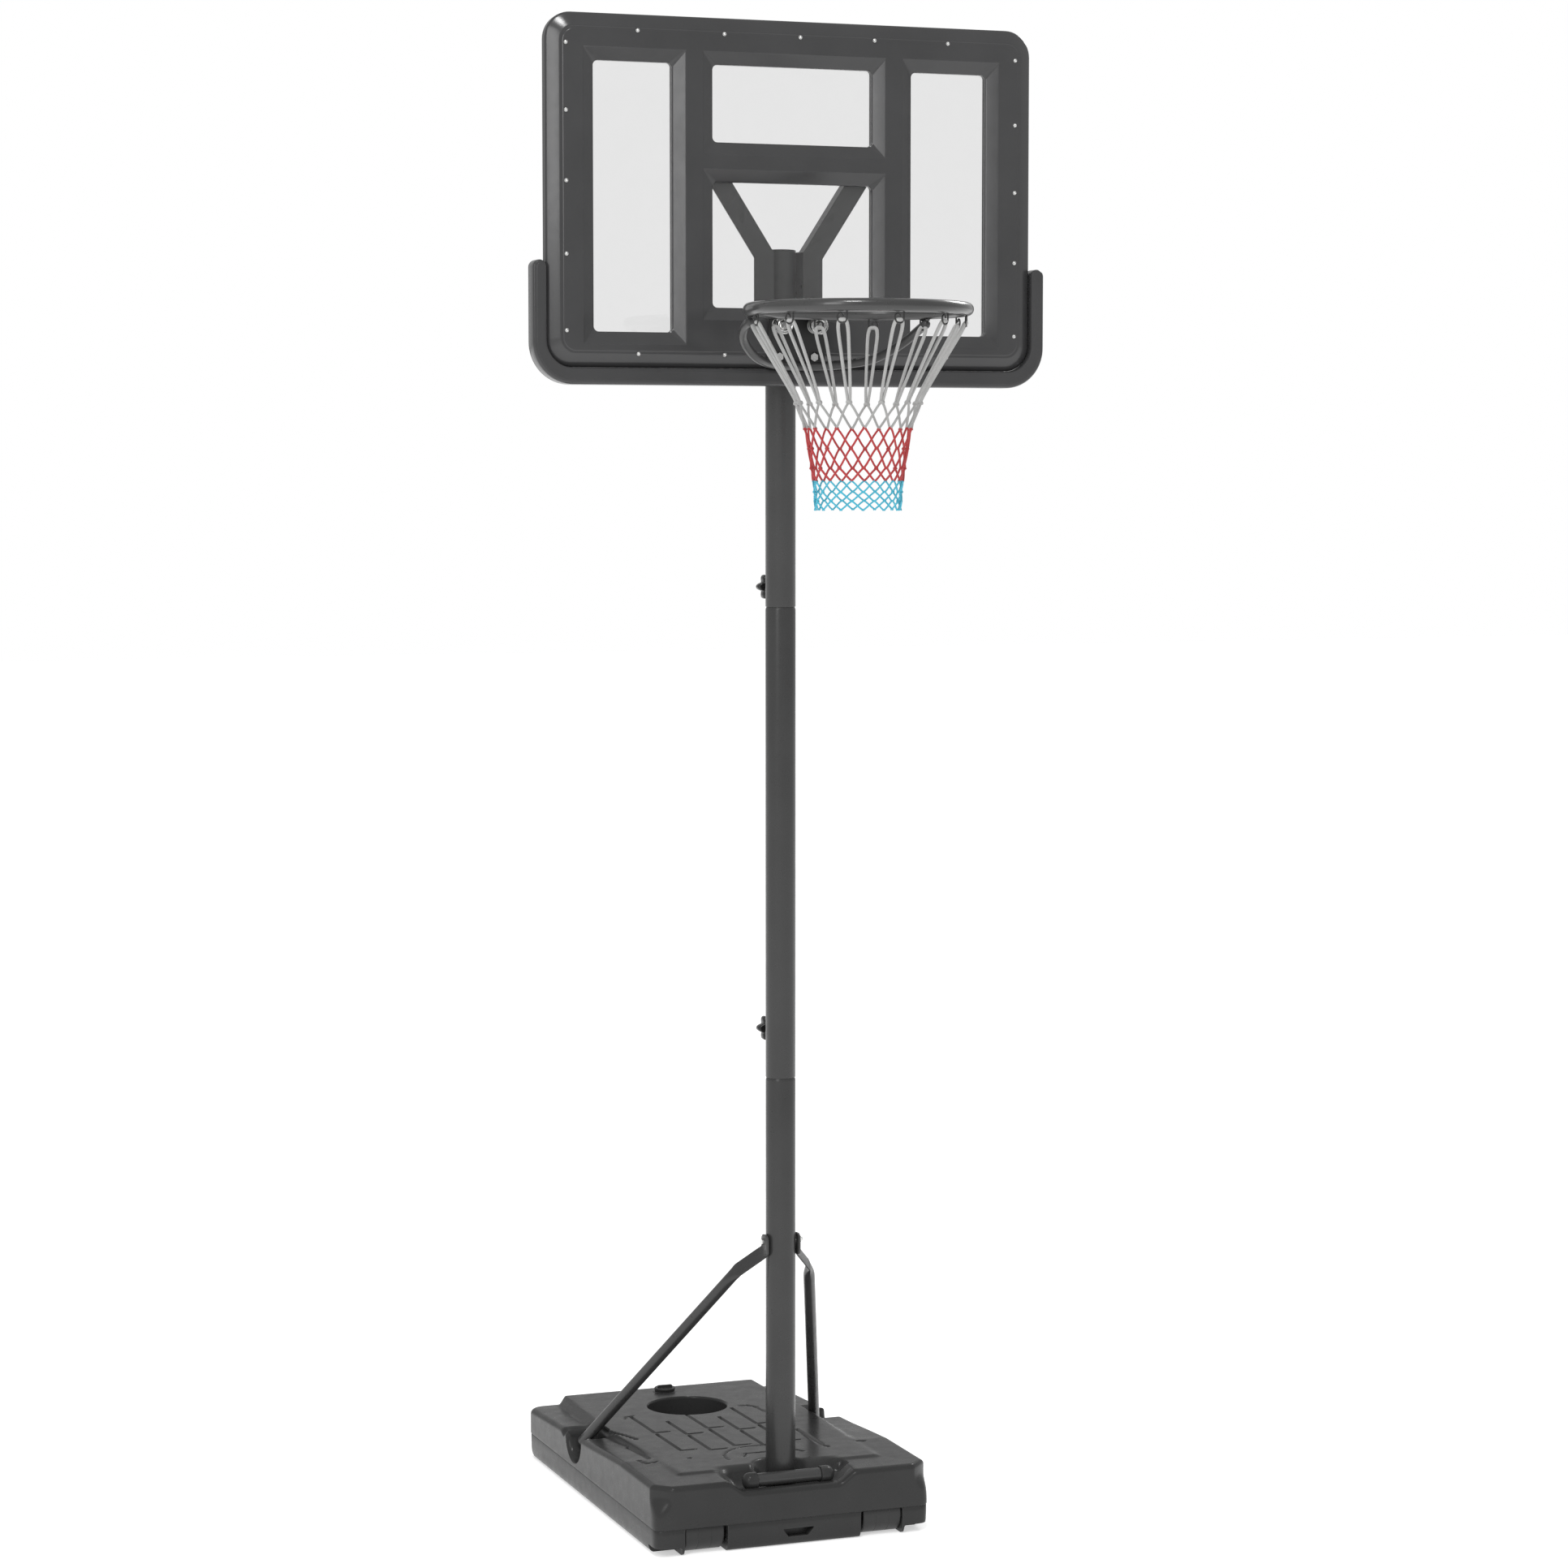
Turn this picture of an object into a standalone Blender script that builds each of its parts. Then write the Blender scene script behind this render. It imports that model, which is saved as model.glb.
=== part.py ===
"""Portable basketball hoop with a water-filled base, a three-piece telescoping pole and a sprung rim.

Metres, +Z up. The origin is on the pole's axis at floor level. The board and rim face -Y.
"""

import math

import bmesh
import bpy
from mathutils import Matrix, Vector

# Gaps
GAP = 0.0003                    # between pieces that touch

# Fasteners
BOLT_R = 0.0040
BOLT_HOLE_R = 0.0043
MOUNT_HOLE_R = 0.0045
NUT_R = 0.0075                  # to the corners of the hexagon
NUT_LENGTH = 0.0065
HEAD_HEIGHT = 0.0055
PIN_BURIED = 0.003              # how far a strut's pin enters the wall at each end

# Base tank
TANK_HALF_WIDTH = 0.312
TANK_FRONT = -0.088
TANK_REAR = 0.845
TANK_CORNER = 0.035             # plan radius of the four corners
TANK_WALL = 0.005
PARTING_Z = 0.058               # height of the mould's parting line, where the tank is widest
SHOULDER_FRONT_Z = 0.149
SHOULDER_REAR_Z = 0.112
SHOULDER_SLOPE_START = 0.15
PANEL_HALF_WIDTH = 0.232        # the raised middle of the tank's top
PANEL_FRONT_Z = 0.153
PANEL_REAR_Z = 0.139
VALLEY_Z = 0.118                # floor of the low part round the pole's foot
VALLEY_FLOOR_HALF = 0.105
VALLEY_TOP_HALF = 0.150
WELL_CENTRE = (0.0, 0.607)
WELL_RADIUS = 0.090
WELL_FLOOR_Z = 0.055
FILLER_Y = 0.765
FILLER_TOP_Z = 0.1415
FILLER_HOLE_R = 0.0165
FILLER_BOSS_R = 0.028
WATER_LEVEL = 0.105

# Wheels
WHEEL_R = 0.042
WHEEL_Y = -0.043
WHEEL_Z = WHEEL_R + 0.0005
WHEEL_INNER_X = 0.158
WHEEL_OUTER_X = 0.245
WHEEL_POCKET_GAP = 0.002
ARCH_INNER_GAP = 0.007          # room beside the wheel's inner face
AXLE_R = 0.005
AXLE_ENDS = (0.1478, 0.2502)    # distances of an axle's ends from the middle

# Pole
POLE_R = 0.03175
POLE_WALL = 0.0015
NECK_R = 0.02965                # the reduced upper end that runs inside the section above
NECK_LENGTH = 0.355
POLE_SEAT_Z = VALLEY_Z - 0.002  # floor of the round seat under the pole
POLE_FOOT_Z = POLE_SEAT_Z + GAP
LOWER_JOINT_Z = 0.990
UPPER_JOINT_Z = 1.988
POLE_TOP_Z = 2.729
HOLE_PITCH = 0.0762             # three inches between height settings
HOLE_COUNT = 4
KNOB_ABOVE_JOINT = (0.097, 0.041)
KNOB_STAR_R = 0.0285
STUD_INNER_Y = 0.0303           # the clamping stud's tip, just off the neck inside
STUD_TIP_Y = 0.0647
FOOT_TUBE_R = 0.0145
FOOT_TUBE_Y = -0.045
FOOT_TUBE_Z = 0.136
FOOT_TUBE_HALF = 0.0718
FOOT_LUG_END = 0.1035
FOOT_LUG_R = 0.0185
FOOT_PIN_HALF = 0.0922
FOOT_PIN_R = 0.006

# Struts
STRUT_R = 0.0125
STRUT_BOLT_Z = 0.639
STRUT_FOOT = Vector((0.264, 0.486, 0.137))
STRUT_BEND = Vector((0.0813, 0.044, 0.572))
STRUT_FOLD = Vector((0.0362, 0.002, 0.617))
STRUT_TAB_X = 0.0362
STRUT_TAB_HALF = 0.0024         # half the thickness of the flattened end
STRUT_END_Z = 0.104
POCKET_Y = (0.436, 0.534)
POCKET_INNER_X = 0.238
POCKET_FLOOR_Z = 0.075

# Board
FRAME_HALF = 0.535
FRAME_BOTTOM = 2.4835
FRAME_TOP = 3.197
FRAME_CORNER = 0.055
FRAME_CHAMFER = 0.027
BOARD_FRONT = -0.0875
CHAMFER_BACK = -0.0705
FRAME_BACK = -0.0625
PANEL_BACK = -0.0592
BOARD_BACK = -0.0465
WINDOW_CORNER = 0.011
WINDOW_WALL = [                 # distance in front of the panel, how far the wall has drawn back
    (0.000, 0.000),
    (0.010, 0.000),
    (0.022, 0.018),
    (0.025, 0.026),
    (0.030, 0.034),
]
WINDOWS = [                     # x low, x high, z low, z high
    (-0.433, -0.264, 2.556, 3.102),
    (0.264, 0.433, 2.556, 3.102),
    (-0.176, 0.176, 2.945, 3.102),
    (-0.176, 0.176, 2.608, 2.864),
]
TRIM_HALF = 0.565
TRIM_BOTTOM = 2.448
TRIM_END_Z = 2.699
TRIM_END_ROUND = (TRIM_HALF - FRAME_HALF) / 2
TRIM_CORNER = 0.085
TRIM_FRONT = -0.086
TRIM_BACK = -0.046

# Bracket behind the board
ARM_FRONT = BOARD_BACK + GAP
ARM_STEEL = 0.003
ARM_OUTER_X = 0.0756
ARM_INNER_X = 0.0325
ARM_BOTTOM = 2.492
ARM_BEND_Z = 2.713
ARM_TOP_Z = 2.925
ARM_SLOPE = 0.652               # sideways run for each unit of height above the bend
ARM_LEG_BACK = -0.016
ARM_POLE_LEG_BACK = 0.016
POLE_BOLT_Z = (2.640, 2.700)

# Rim
RIM_Z = 2.592                   # 8 ft 6 in, the lowest setting
RIM_Y = -0.4376
RIM_BAR_R = 0.0130
RIM_RADIUS = 0.2165             # to the middle of the bar
BRACE_R = 0.0093
PIVOT_Y = -0.0922
PIVOT_Z = 2.488
MOUNT_PLATE_FRONT = -0.0918
BRACKET_FRONT = -0.0955
BRACKET_HALF = 0.062
FLANGE_Z = RIM_Z + RIM_BAR_R + 0.0005
SPRING_X = 0.039
SPRING_Z = 2.5728
SPRING_COIL_R = 0.0155
SPRING_WIRE_R = 0.0016
SPRING_TURNS = 3.5
DISC_FRONT = -0.1290
DISC_BACK = -0.1265
DISC_R = 0.0190
MOUNT_BOLT_X = 0.0385
MOUNT_BOLT_Z = 2.508
MOUNT_TIP_Y = -0.0330
MOUNT_HEAD_HEIGHT = 0.0060
SPRING_CLEARANCE_R = 0.0085     # the bracket's holes round the spring bolts
HEAD_CLEARANCE_R = 0.0120       # and round the lower bolts' heads
NET_PROFILE = [                 # radius, depth below the rim
    (0.2045, 0.027),
    (0.1255, 0.185),
    (0.1075, 0.235),
    (0.0945, 0.314),
    (0.0895, 0.339),
    (0.0865, 0.400),
]
NET_THICKNESS = 0.003

SEGMENTS = 24                   # sides of a large turned part
SMALL_SEGMENTS = 12


def clear_scene():
    for thing in list(bpy.data.objects):
        bpy.data.objects.remove(thing, do_unlink=True)


def new_collection(name):
    made = bpy.data.collections.new(name)
    bpy.context.scene.collection.children.link(made)
    return made


def make_material(name, colour, roughness, metallic=0.0, alpha=1.0):
    made = bpy.data.materials.new(name)
    made.use_nodes = True
    shader = made.node_tree.nodes["Principled BSDF"]
    shader.inputs["Base Color"].default_value = (*colour, 1.0)
    shader.inputs["Roughness"].default_value = roughness
    shader.inputs["Metallic"].default_value = metallic
    shader.inputs["Alpha"].default_value = alpha
    return made


clear_scene()
PARTS = new_collection("basketball_hoop")
CUTTERS = new_collection("cutters")

MOULDED = make_material("moulded_plastic", (0.060, 0.060, 0.060), 0.45)
WATER = make_material("water", (0.35, 0.50, 0.60), 0.10, alpha=0.6)
BLACK = make_material("black_plastic", (0.015, 0.015, 0.015), 0.40)
RUBBER = make_material("rubber", (0.030, 0.030, 0.030), 0.80)
PAINT = make_material("painted_steel", (0.070, 0.070, 0.070), 0.35, 0.3)
ZINC = make_material("zinc_steel", (0.60, 0.60, 0.60), 0.30, 1.0)
CLEAR = make_material("clear_panel", (0.85, 0.85, 0.85), 0.05, alpha=0.3)
CORD = make_material("net_cord", (0.75, 0.75, 0.75), 0.85)


# Making and combining solids

def add_object(name, mesh, material, origin=Vector(), cutter=False):
    """Put a mesh in the scene as a part, or as a hidden cutter."""
    made = bpy.data.objects.new(name, mesh)
    made.location = origin
    if cutter:
        CUTTERS.objects.link(made)
        made.hide_render = True
        made.display_type = "WIRE"
    else:
        PARTS.objects.link(made)
        mesh.materials.append(material)
    return made


def finish_bmesh(name, bm, material, origin=Vector(), cutter=False, smooth=True):
    bmesh.ops.recalc_face_normals(bm, faces=bm.faces)
    mesh = bpy.data.meshes.new(name)
    bm.to_mesh(mesh)
    bm.free()
    if smooth:
        mesh.shade_smooth()
        mesh.set_sharp_from_angle(angle=math.radians(35))
    return add_object(name, mesh, material, origin, cutter)


def rod(name, start, end, radius, material=None, sides=SMALL_SEGMENTS, cutter=False, turn=0.0):
    """A cylinder from one point to another; six sides make a hexagon bar."""
    start, end = Vector(start), Vector(end)
    bm = bmesh.new()
    bmesh.ops.create_cone(
        bm, cap_ends=True, segments=sides, radius1=radius, radius2=radius, depth=(end - start).length
    )
    place = (end - start).to_track_quat("Z", "Y").to_matrix().to_4x4() @ Matrix.Rotation(turn, 4, "Z")
    bmesh.ops.transform(bm, matrix=place, verts=bm.verts)
    return finish_bmesh(name, bm, material, (start + end) / 2, cutter, smooth=sides > 8)


def block(name, low, high, material=None, cutter=False):
    """A box between two corners."""
    low, high = Vector(low), Vector(high)
    bm = bmesh.new()
    bmesh.ops.create_cube(bm, size=1.0)
    bmesh.ops.scale(bm, vec=high - low, verts=bm.verts)
    return finish_bmesh(name, bm, material, (low + high) / 2, cutter, smooth=False)


def loft(name, rings, material=None, origin=Vector(), cutter=False):
    """A closed solid through rings of points that have the same count, capped at both ends."""
    bm = bmesh.new()
    made = [[bm.verts.new(Vector(point) - Vector(origin)) for point in ring] for ring in rings]
    for ring, following in zip(made, made[1:]):
        for i in range(len(ring)):
            j = (i + 1) % len(ring)
            bm.faces.new((ring[i], ring[j], following[j], following[i]))
    bm.faces.new(made[0])
    bm.faces.new(made[-1])
    return finish_bmesh(name, bm, material, origin, cutter)


def turned(name, profile, material, centre, axis="Z", steps=SEGMENTS, cutter=False):
    """A turned part: (radius, height) pairs, down the outer side and back up the inner one."""
    mesh = bpy.data.meshes.new(name)
    points = [(radius, 0.0, height) for radius, height in profile]
    closed = profile[0][0] > 0 or profile[-1][0] > 0
    edges = [(i, i + 1) for i in range(len(points) - 1)]
    if closed:
        edges.append((len(points) - 1, 0))
    mesh.from_pydata(points, edges, [])
    made = add_object(name, mesh, material, Vector(centre), cutter)
    turns = {"Z": (0, 0, 0), "X": (0, math.pi / 2, 0), "Y": (-math.pi / 2, 0, 0)}
    made.rotation_euler = turns[axis]
    screw = made.modifiers.new("turn", "SCREW")
    screw.steps = steps
    screw.render_steps = steps
    screw.use_merge_vertices = True
    screw.merge_threshold = 0.00001
    screw.use_smooth_shade = True
    return made


def boolean(target, tool, operation):
    if tool.name in PARTS.objects:
        PARTS.objects.unlink(tool)
        CUTTERS.objects.link(tool)
        tool.hide_render = True
        tool.display_type = "WIRE"
    step = target.modifiers.new(operation.lower(), "BOOLEAN")
    step.operation = operation
    step.solver = "EXACT"
    step.object = tool
    return target


def cut(target, *tools):
    for tool in tools:
        boolean(target, tool, "DIFFERENCE")
    return target


def join(target, *tools):
    for tool in tools:
        boolean(target, tool, "UNION")
    return target


def rounded_rectangle(x_low, x_high, z_low, z_high, radius, steps=3):
    """Corner arcs of an upright rectangle, as (x, z) pairs, anticlockwise from the lower right."""
    corners = [
        (x_high - radius, z_low + radius, -90),
        (x_high - radius, z_high - radius, 0),
        (x_low + radius, z_high - radius, 90),
        (x_low + radius, z_low + radius, 180),
    ]
    points = []
    for x, z, start in corners:
        for i in range(steps + 1):
            angle = math.radians(start + 90 * i / steps)
            points.append((x + radius * math.cos(angle), z + radius * math.sin(angle)))
    return points


def upright(points, y):
    """Place (x, z) pairs in the plane at y."""
    return [Vector((x, y, z)) for x, z in points]


def bolt(name, head_end, tip, radius, head_radius, head_height, material=ZINC):
    """A bolt with a hexagon head that starts at head_end and a plain shank that ends at tip."""
    head_end, tip = Vector(head_end), Vector(tip)
    along = (tip - head_end).normalized()
    shank = rod(name, head_end + along * head_height * 0.5, tip, radius, material)
    head = rod(name + "_head", head_end, head_end + along * head_height, head_radius, sides=6, cutter=True)
    return join(shank, head)


def nut(name, start, end, radius, hole, material=ZINC):
    start, end = Vector(start), Vector(end)
    along = (end - start).normalized() * 0.002
    body = rod(name, start, end, radius, material, sides=6)
    return cut(body, rod(name + "_hole", start - along, end + along, hole, cutter=True))


def through_bolt(bolt_name, nut_name, face, z):
    """A bolt across the pole at height z, its head and nut against faces at -face and face."""
    bolt(
        bolt_name, (-face - HEAD_HEIGHT, 0, z), (face + NUT_LENGTH + 0.0035, 0, z), BOLT_R, NUT_R, HEAD_HEIGHT
    )
    nut(nut_name, (face, 0, z), (face + NUT_LENGTH, 0, z), NUT_R, BOLT_HOLE_R)


# Base tank

def ease(low, high, value):
    """0 below low, 1 above high, smooth between."""
    t = min(1.0, max(0.0, (value - low) / (high - low)))
    return t * t * (3 - 2 * t)


def shoulder_height(y):
    start, end = SHOULDER_SLOPE_START, TANK_REAR
    t = min(1.0, max(0.0, (y - start) / (end - start)))
    return SHOULDER_FRONT_Z + (SHOULDER_REAR_Z - SHOULDER_FRONT_Z) * t


def panel_height(y):
    t = min(1.0, max(0.0, y / TANK_REAR))
    return PANEL_FRONT_Z + (PANEL_REAR_Z - PANEL_FRONT_Z) * t


def tank_top(x, y):
    """Height of the tank's top: shoulders, raised middle, and the low part round the pole's foot."""
    inside = ease(0, 0.02, PANEL_HALF_WIDTH + 0.01 - abs(x)) * ease(-0.005, 0.012, y)
    height = shoulder_height(y) + (panel_height(y) - shoulder_height(y)) * inside
    low_x = 1 - ease(VALLEY_FLOOR_HALF, VALLEY_TOP_HALF, abs(x))
    low_y = 1 - ease(-0.030, 0.035, y)
    return height + (VALLEY_Z - height) * low_x * low_y


def tank_plan(x, y, inset):
    """Move a point of the square-cornered plan to the round-cornered one, drawn in by inset."""
    middle = (TANK_FRONT + TANK_REAR) / 2
    half_length = (TANK_REAR - TANK_FRONT) / 2
    u = (abs(x) - (TANK_HALF_WIDTH - TANK_CORNER)) / TANK_CORNER
    v = (abs(y - middle) - (half_length - TANK_CORNER)) / TANK_CORNER
    if u > 0 and v > 0:
        u, v = u * math.sqrt(1 - v * v / 2), v * math.sqrt(1 - u * u / 2)
    reach = TANK_CORNER - inset
    new_x, new_y = x, y
    if u > 0:
        new_x = math.copysign(TANK_HALF_WIDTH - TANK_CORNER + u * reach, x)
    if v > 0:
        new_y = middle + math.copysign(half_length - TANK_CORNER + v * reach, y - middle)
    return new_x, new_y


def tank_grid_lines(fine):
    """Grid lines that follow the tank's edges, steps and corners; the inner space needs fewer."""
    corner_steps = (0, 0.5, 1) if fine else (0, 1)
    right = [TANK_HALF_WIDTH - TANK_CORNER * t for t in corner_steps]
    right += [0.242, 0.222] if fine else [0.242]
    right += [VALLEY_TOP_HALF, VALLEY_FLOOR_HALF]
    across = [-x for x in right] + [0.0] + right[::-1]
    front = [TANK_FRONT + TANK_CORNER * t for t in corner_steps]
    rear = [TANK_REAR - TANK_CORNER * t for t in corner_steps[::-1]]
    middle = [-0.030, -0.005, 0.012, 0.035] if fine else [-0.030, 0.035]
    middle += [SHOULDER_SLOPE_START, 0.66]
    return across, front + middle + rear


def tank_form(name, shrink=0.0, top_limit=None, material=None, cutter=False):
    """The tank's outer shape, or a smaller copy of it for the hollow and for the water."""
    across, along = tank_grid_lines(fine=shrink == 0)
    sides = [(0.014, 0.010), (0.005, 0.003)]
    bm = bmesh.new()

    def height(x, y):
        z = tank_top(x, y) - shrink
        return z if top_limit is None else min(z, top_limit)

    grid = []
    for y in along:
        row = []
        for x in across:
            px, py = tank_plan(x, y, sides[0][0] + shrink)
            row.append(bm.verts.new((px, py, height(px, py))))
        grid.append(row)
    for row, following in zip(grid, grid[1:]):
        for i in range(len(across) - 1):
            bm.faces.new((row[i], row[i + 1], following[i + 1], following[i]))

    last_x, last_y = len(across) - 1, len(along) - 1
    border = [(i, 0) for i in range(last_x)]
    border += [(last_x, j) for j in range(last_y)]
    border += [(i, last_y) for i in range(last_x, 0, -1)]
    border += [(0, j) for j in range(last_y, 0, -1)]

    def ring(inset, drop=None, level=None):
        made = []
        for i, j in border:
            px, py = tank_plan(across[i], along[j], inset + shrink)
            z = level if level is not None else height(px, py) - drop
            made.append(bm.verts.new((px, py, z)))
        return made

    rings = [[grid[j][i] for i, j in border]]
    rings.append(ring(sides[1][0], drop=0.009))
    rings.append(ring(0.0, level=PARTING_Z))
    rings.append(ring(0.003, level=0.012 + shrink))
    rings.append(ring(0.014, level=shrink))
    for upper, lower in zip(rings, rings[1:]):
        for i in range(len(border)):
            j = (i + 1) % len(border)
            bm.faces.new((upper[i], lower[i], lower[j], upper[j]))
    bm.faces.new(rings[-1])
    bmesh.ops.triangulate(bm, faces=[face for face in bm.faces if len(face.verts) == 4])
    return finish_bmesh(name, bm, material, cutter=cutter)


def tank_pockets(label, grow):
    """Cutters for every hollow in the tank's outside, grown to leave a wall round the inner space."""
    made = []
    pocket_r = WHEEL_R + WHEEL_POCKET_GAP + grow
    for side in (-1, 1):
        tag = f"{label}_{'left' if side < 0 else 'right'}"
        x_low, x_high = sorted(
            (side * (WHEEL_INNER_X - ARCH_INNER_GAP - grow), side * (WHEEL_OUTER_X + WHEEL_POCKET_GAP + grow))
        )
        made.append(rod(
            f"{tag}_wheel_arch", (x_low, WHEEL_Y, WHEEL_Z), (x_high, WHEEL_Y, WHEEL_Z), pocket_r,
            sides=24, cutter=True, turn=math.radians(7.5),
        ))
        made.append(block(
            f"{tag}_wheel_mouth", (x_low + 0.0001, -0.10, -0.02),
            (x_high - 0.0001, WHEEL_Y + pocket_r - 0.001, WHEEL_Z), cutter=True,
        ))
        made.append(block(
            f"{tag}_wheel_front", (x_low + 0.0002, -0.11, 0.010),
            (x_high - 0.0002, WHEEL_Y, PARTING_Z - 0.001 + grow), cutter=True,
        ))
        x_low, x_high = sorted((side * (POCKET_INNER_X - grow), side * 0.36))
        made.append(block(
            f"{tag}_strut_pocket", (x_low, POCKET_Y[0] - grow, POCKET_FLOOR_Z - grow),
            (x_high, POCKET_Y[1] + grow, 0.20), cutter=True,
        ))
    well = [
        (0, 0.20),
        (WELL_RADIUS + grow, 0.20),
        (WELL_RADIUS + grow, 0.145),
        (WELL_RADIUS - 0.006 + grow, WELL_FLOOR_Z + 0.008),
        (WELL_RADIUS - 0.014 + grow, WELL_FLOOR_Z - grow),
        (0, WELL_FLOOR_Z - grow),
    ]
    made.append(turned(f"{label}_well", well, None, (*WELL_CENTRE, 0), cutter=True))
    made.append(rod(
        f"{label}_pole_seat", (0, 0, POLE_SEAT_Z - grow), (0, 0, 0.2), POLE_R + 0.002 + grow,
        sides=SEGMENTS, cutter=True,
    ))
    return made


def make_base():
    tank = tank_form("base_tank", material=MOULDED)
    cut(tank, *tank_pockets("outside", 0.0))
    boss = rod(
        "filler_boss", (0, FILLER_Y, 0.125), (0, FILLER_Y, FILLER_TOP_Z), FILLER_BOSS_R, sides=24, cutter=True
    )
    lugs = [
        rod(f"foot_lug_{side}", (side * (FOOT_TUBE_HALF + GAP), FOOT_TUBE_Y, FOOT_TUBE_Z),
            (side * FOOT_LUG_END, FOOT_TUBE_Y, FOOT_TUBE_Z), FOOT_LUG_R, sides=SMALL_SEGMENTS, cutter=True)
        for side in (-1, 1)
    ]
    join(tank, boss, *lugs)

    hollow = tank_form("hollow", shrink=TANK_WALL, cutter=True)
    cut(hollow, *tank_pockets("hollow", TANK_WALL))
    cut(tank, hollow)
    filler_hole = rod(
        "filler_hole", (0, FILLER_Y, 0.11), (0, FILLER_Y, 0.18), FILLER_HOLE_R, sides=24, cutter=True
    )
    cut(tank, filler_hole)
    for side in (-1, 1):
        cut(
            tank,
            rod(f"axle_socket_{side}", (side * (AXLE_ENDS[0] - GAP), WHEEL_Y, WHEEL_Z),
                (side * (AXLE_ENDS[1] + GAP), WHEEL_Y, WHEEL_Z), AXLE_R + GAP, cutter=True),
            rod(f"foot_pin_socket_{side}", (side * 0.060, FOOT_TUBE_Y, FOOT_TUBE_Z),
                (side * (FOOT_PIN_HALF + GAP), FOOT_TUBE_Y, FOOT_TUBE_Z), FOOT_PIN_R + GAP, cutter=True),
            rod(f"strut_pin_socket_{side}", (side * STRUT_PIN.x, POCKET_Y[0] - PIN_BURIED - GAP, STRUT_PIN.z),
                (side * STRUT_PIN.x, POCKET_Y[1] + PIN_BURIED + GAP, STRUT_PIN.z), BOLT_HOLE_R, cutter=True),
        )

    water = tank_form("water_fill", shrink=TANK_WALL + GAP, top_limit=WATER_LEVEL, material=WATER)
    cut(water, *tank_pockets("water", TANK_WALL + GAP))


def make_filler_cap():
    seal_low = FILLER_TOP_Z + GAP
    seal = [(0.0235, seal_low + 0.002), (0.0235, seal_low), (0.0172, seal_low), (0.0172, seal_low + 0.002)]
    turned("cap_seal", seal, RUBBER, (0, FILLER_Y, 0), steps=24)
    low = seal_low + 0.002 + GAP
    cap = [
        (0, low + 0.006), (0.0215, low + 0.006), (0.0240, low + 0.004), (0.0240, low), (0.0155, low),
        (0.0155, low - 0.020), (0, low - 0.020),
    ]
    body = turned("filler_cap", cap, BLACK, (0, FILLER_Y, 0), steps=24)
    grip_low = (-0.017, FILLER_Y - 0.003, low + 0.003)
    grip_high = (0.017, FILLER_Y + 0.003, low + 0.013)
    join(body, block("cap_grip", grip_low, grip_high, cutter=True))


def make_wheels():
    half = (WHEEL_OUTER_X - WHEEL_INNER_X) / 2
    profile = [
        (0.0115, half - 0.003), (0.0300, half - 0.006), (0.0360, half), (WHEEL_R - 0.004, half),
        (WHEEL_R, half - 0.004), (WHEEL_R, -half + 0.004), (WHEEL_R - 0.004, -half), (0.0360, -half),
        (0.0300, -half + 0.006), (0.0115, -half + 0.003), (AXLE_R + 0.0006, -half + 0.003),
        (AXLE_R + 0.0006, half - 0.003),
    ]
    for side, tag in ((-1, "left"), (1, "right")):
        centre = (side * (WHEEL_INNER_X + half), WHEEL_Y, WHEEL_Z)
        turned(f"wheel_{tag}", profile, BLACK, centre, axis="X", steps=20)
        inner_end, outer_end = (side * distance for distance in AXLE_ENDS)
        rod(f"axle_{tag}", (inner_end, WHEEL_Y, WHEEL_Z), (outer_end, WHEEL_Y, WHEEL_Z), AXLE_R, ZINC)


# Pole

def pole_section(name, low, shoulder, has_neck, bottom_chamfer):
    """A tube whose upper end is reduced to slide inside the next one."""
    inner = POLE_R - POLE_WALL
    neck_inner = NECK_R - POLE_WALL
    bottom = [(POLE_R, low + 0.003), (POLE_R - bottom_chamfer, low)] if bottom_chamfer else [(POLE_R, low)]
    if has_neck:
        top = shoulder + NECK_LENGTH
        outer = [
            (NECK_R, top), (NECK_R, shoulder), (POLE_R - 0.0010, shoulder - 0.0004),
            (POLE_R, shoulder - 0.003),
        ]
        bore = [(inner, low), (inner, shoulder - 0.060), (neck_inner, shoulder - 0.040), (neck_inner, top)]
    else:
        outer = [(POLE_R, shoulder)]
        bore = [(inner, low), (inner, shoulder)]
    return turned(name, outer + bottom + bore, PAINT, (0, 0, 0))


def knob_height(index):
    return (LOWER_JOINT_Z, UPPER_JOINT_Z)[index] + KNOB_ABOVE_JOINT[index]


def adjust_holes(section, index):
    """A row of holes up the back of a neck, one for each height setting."""
    for step in range(HOLE_COUNT):
        z = knob_height(index) + step * HOLE_PITCH
        cut(section, rod(f"adjust_hole_{index}_{step}", (0, 0.020, z), (0, 0.040, z), 0.005,
                         sides=8, cutter=True))


def star_outline(lobes=6, radius=KNOB_STAR_R, waist=0.021, steps=4):
    """A lobed outline whose radius swings between waist and radius."""
    points = []
    count = lobes * steps
    for i in range(count):
        swing = 0.5 + 0.5 * math.cos(2 * math.pi * i / steps)
        reach = waist + (radius - waist) * swing ** 0.6
        angle = 2 * math.pi * i / count
        points.append((reach * math.cos(angle), reach * math.sin(angle)))
    return points


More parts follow.
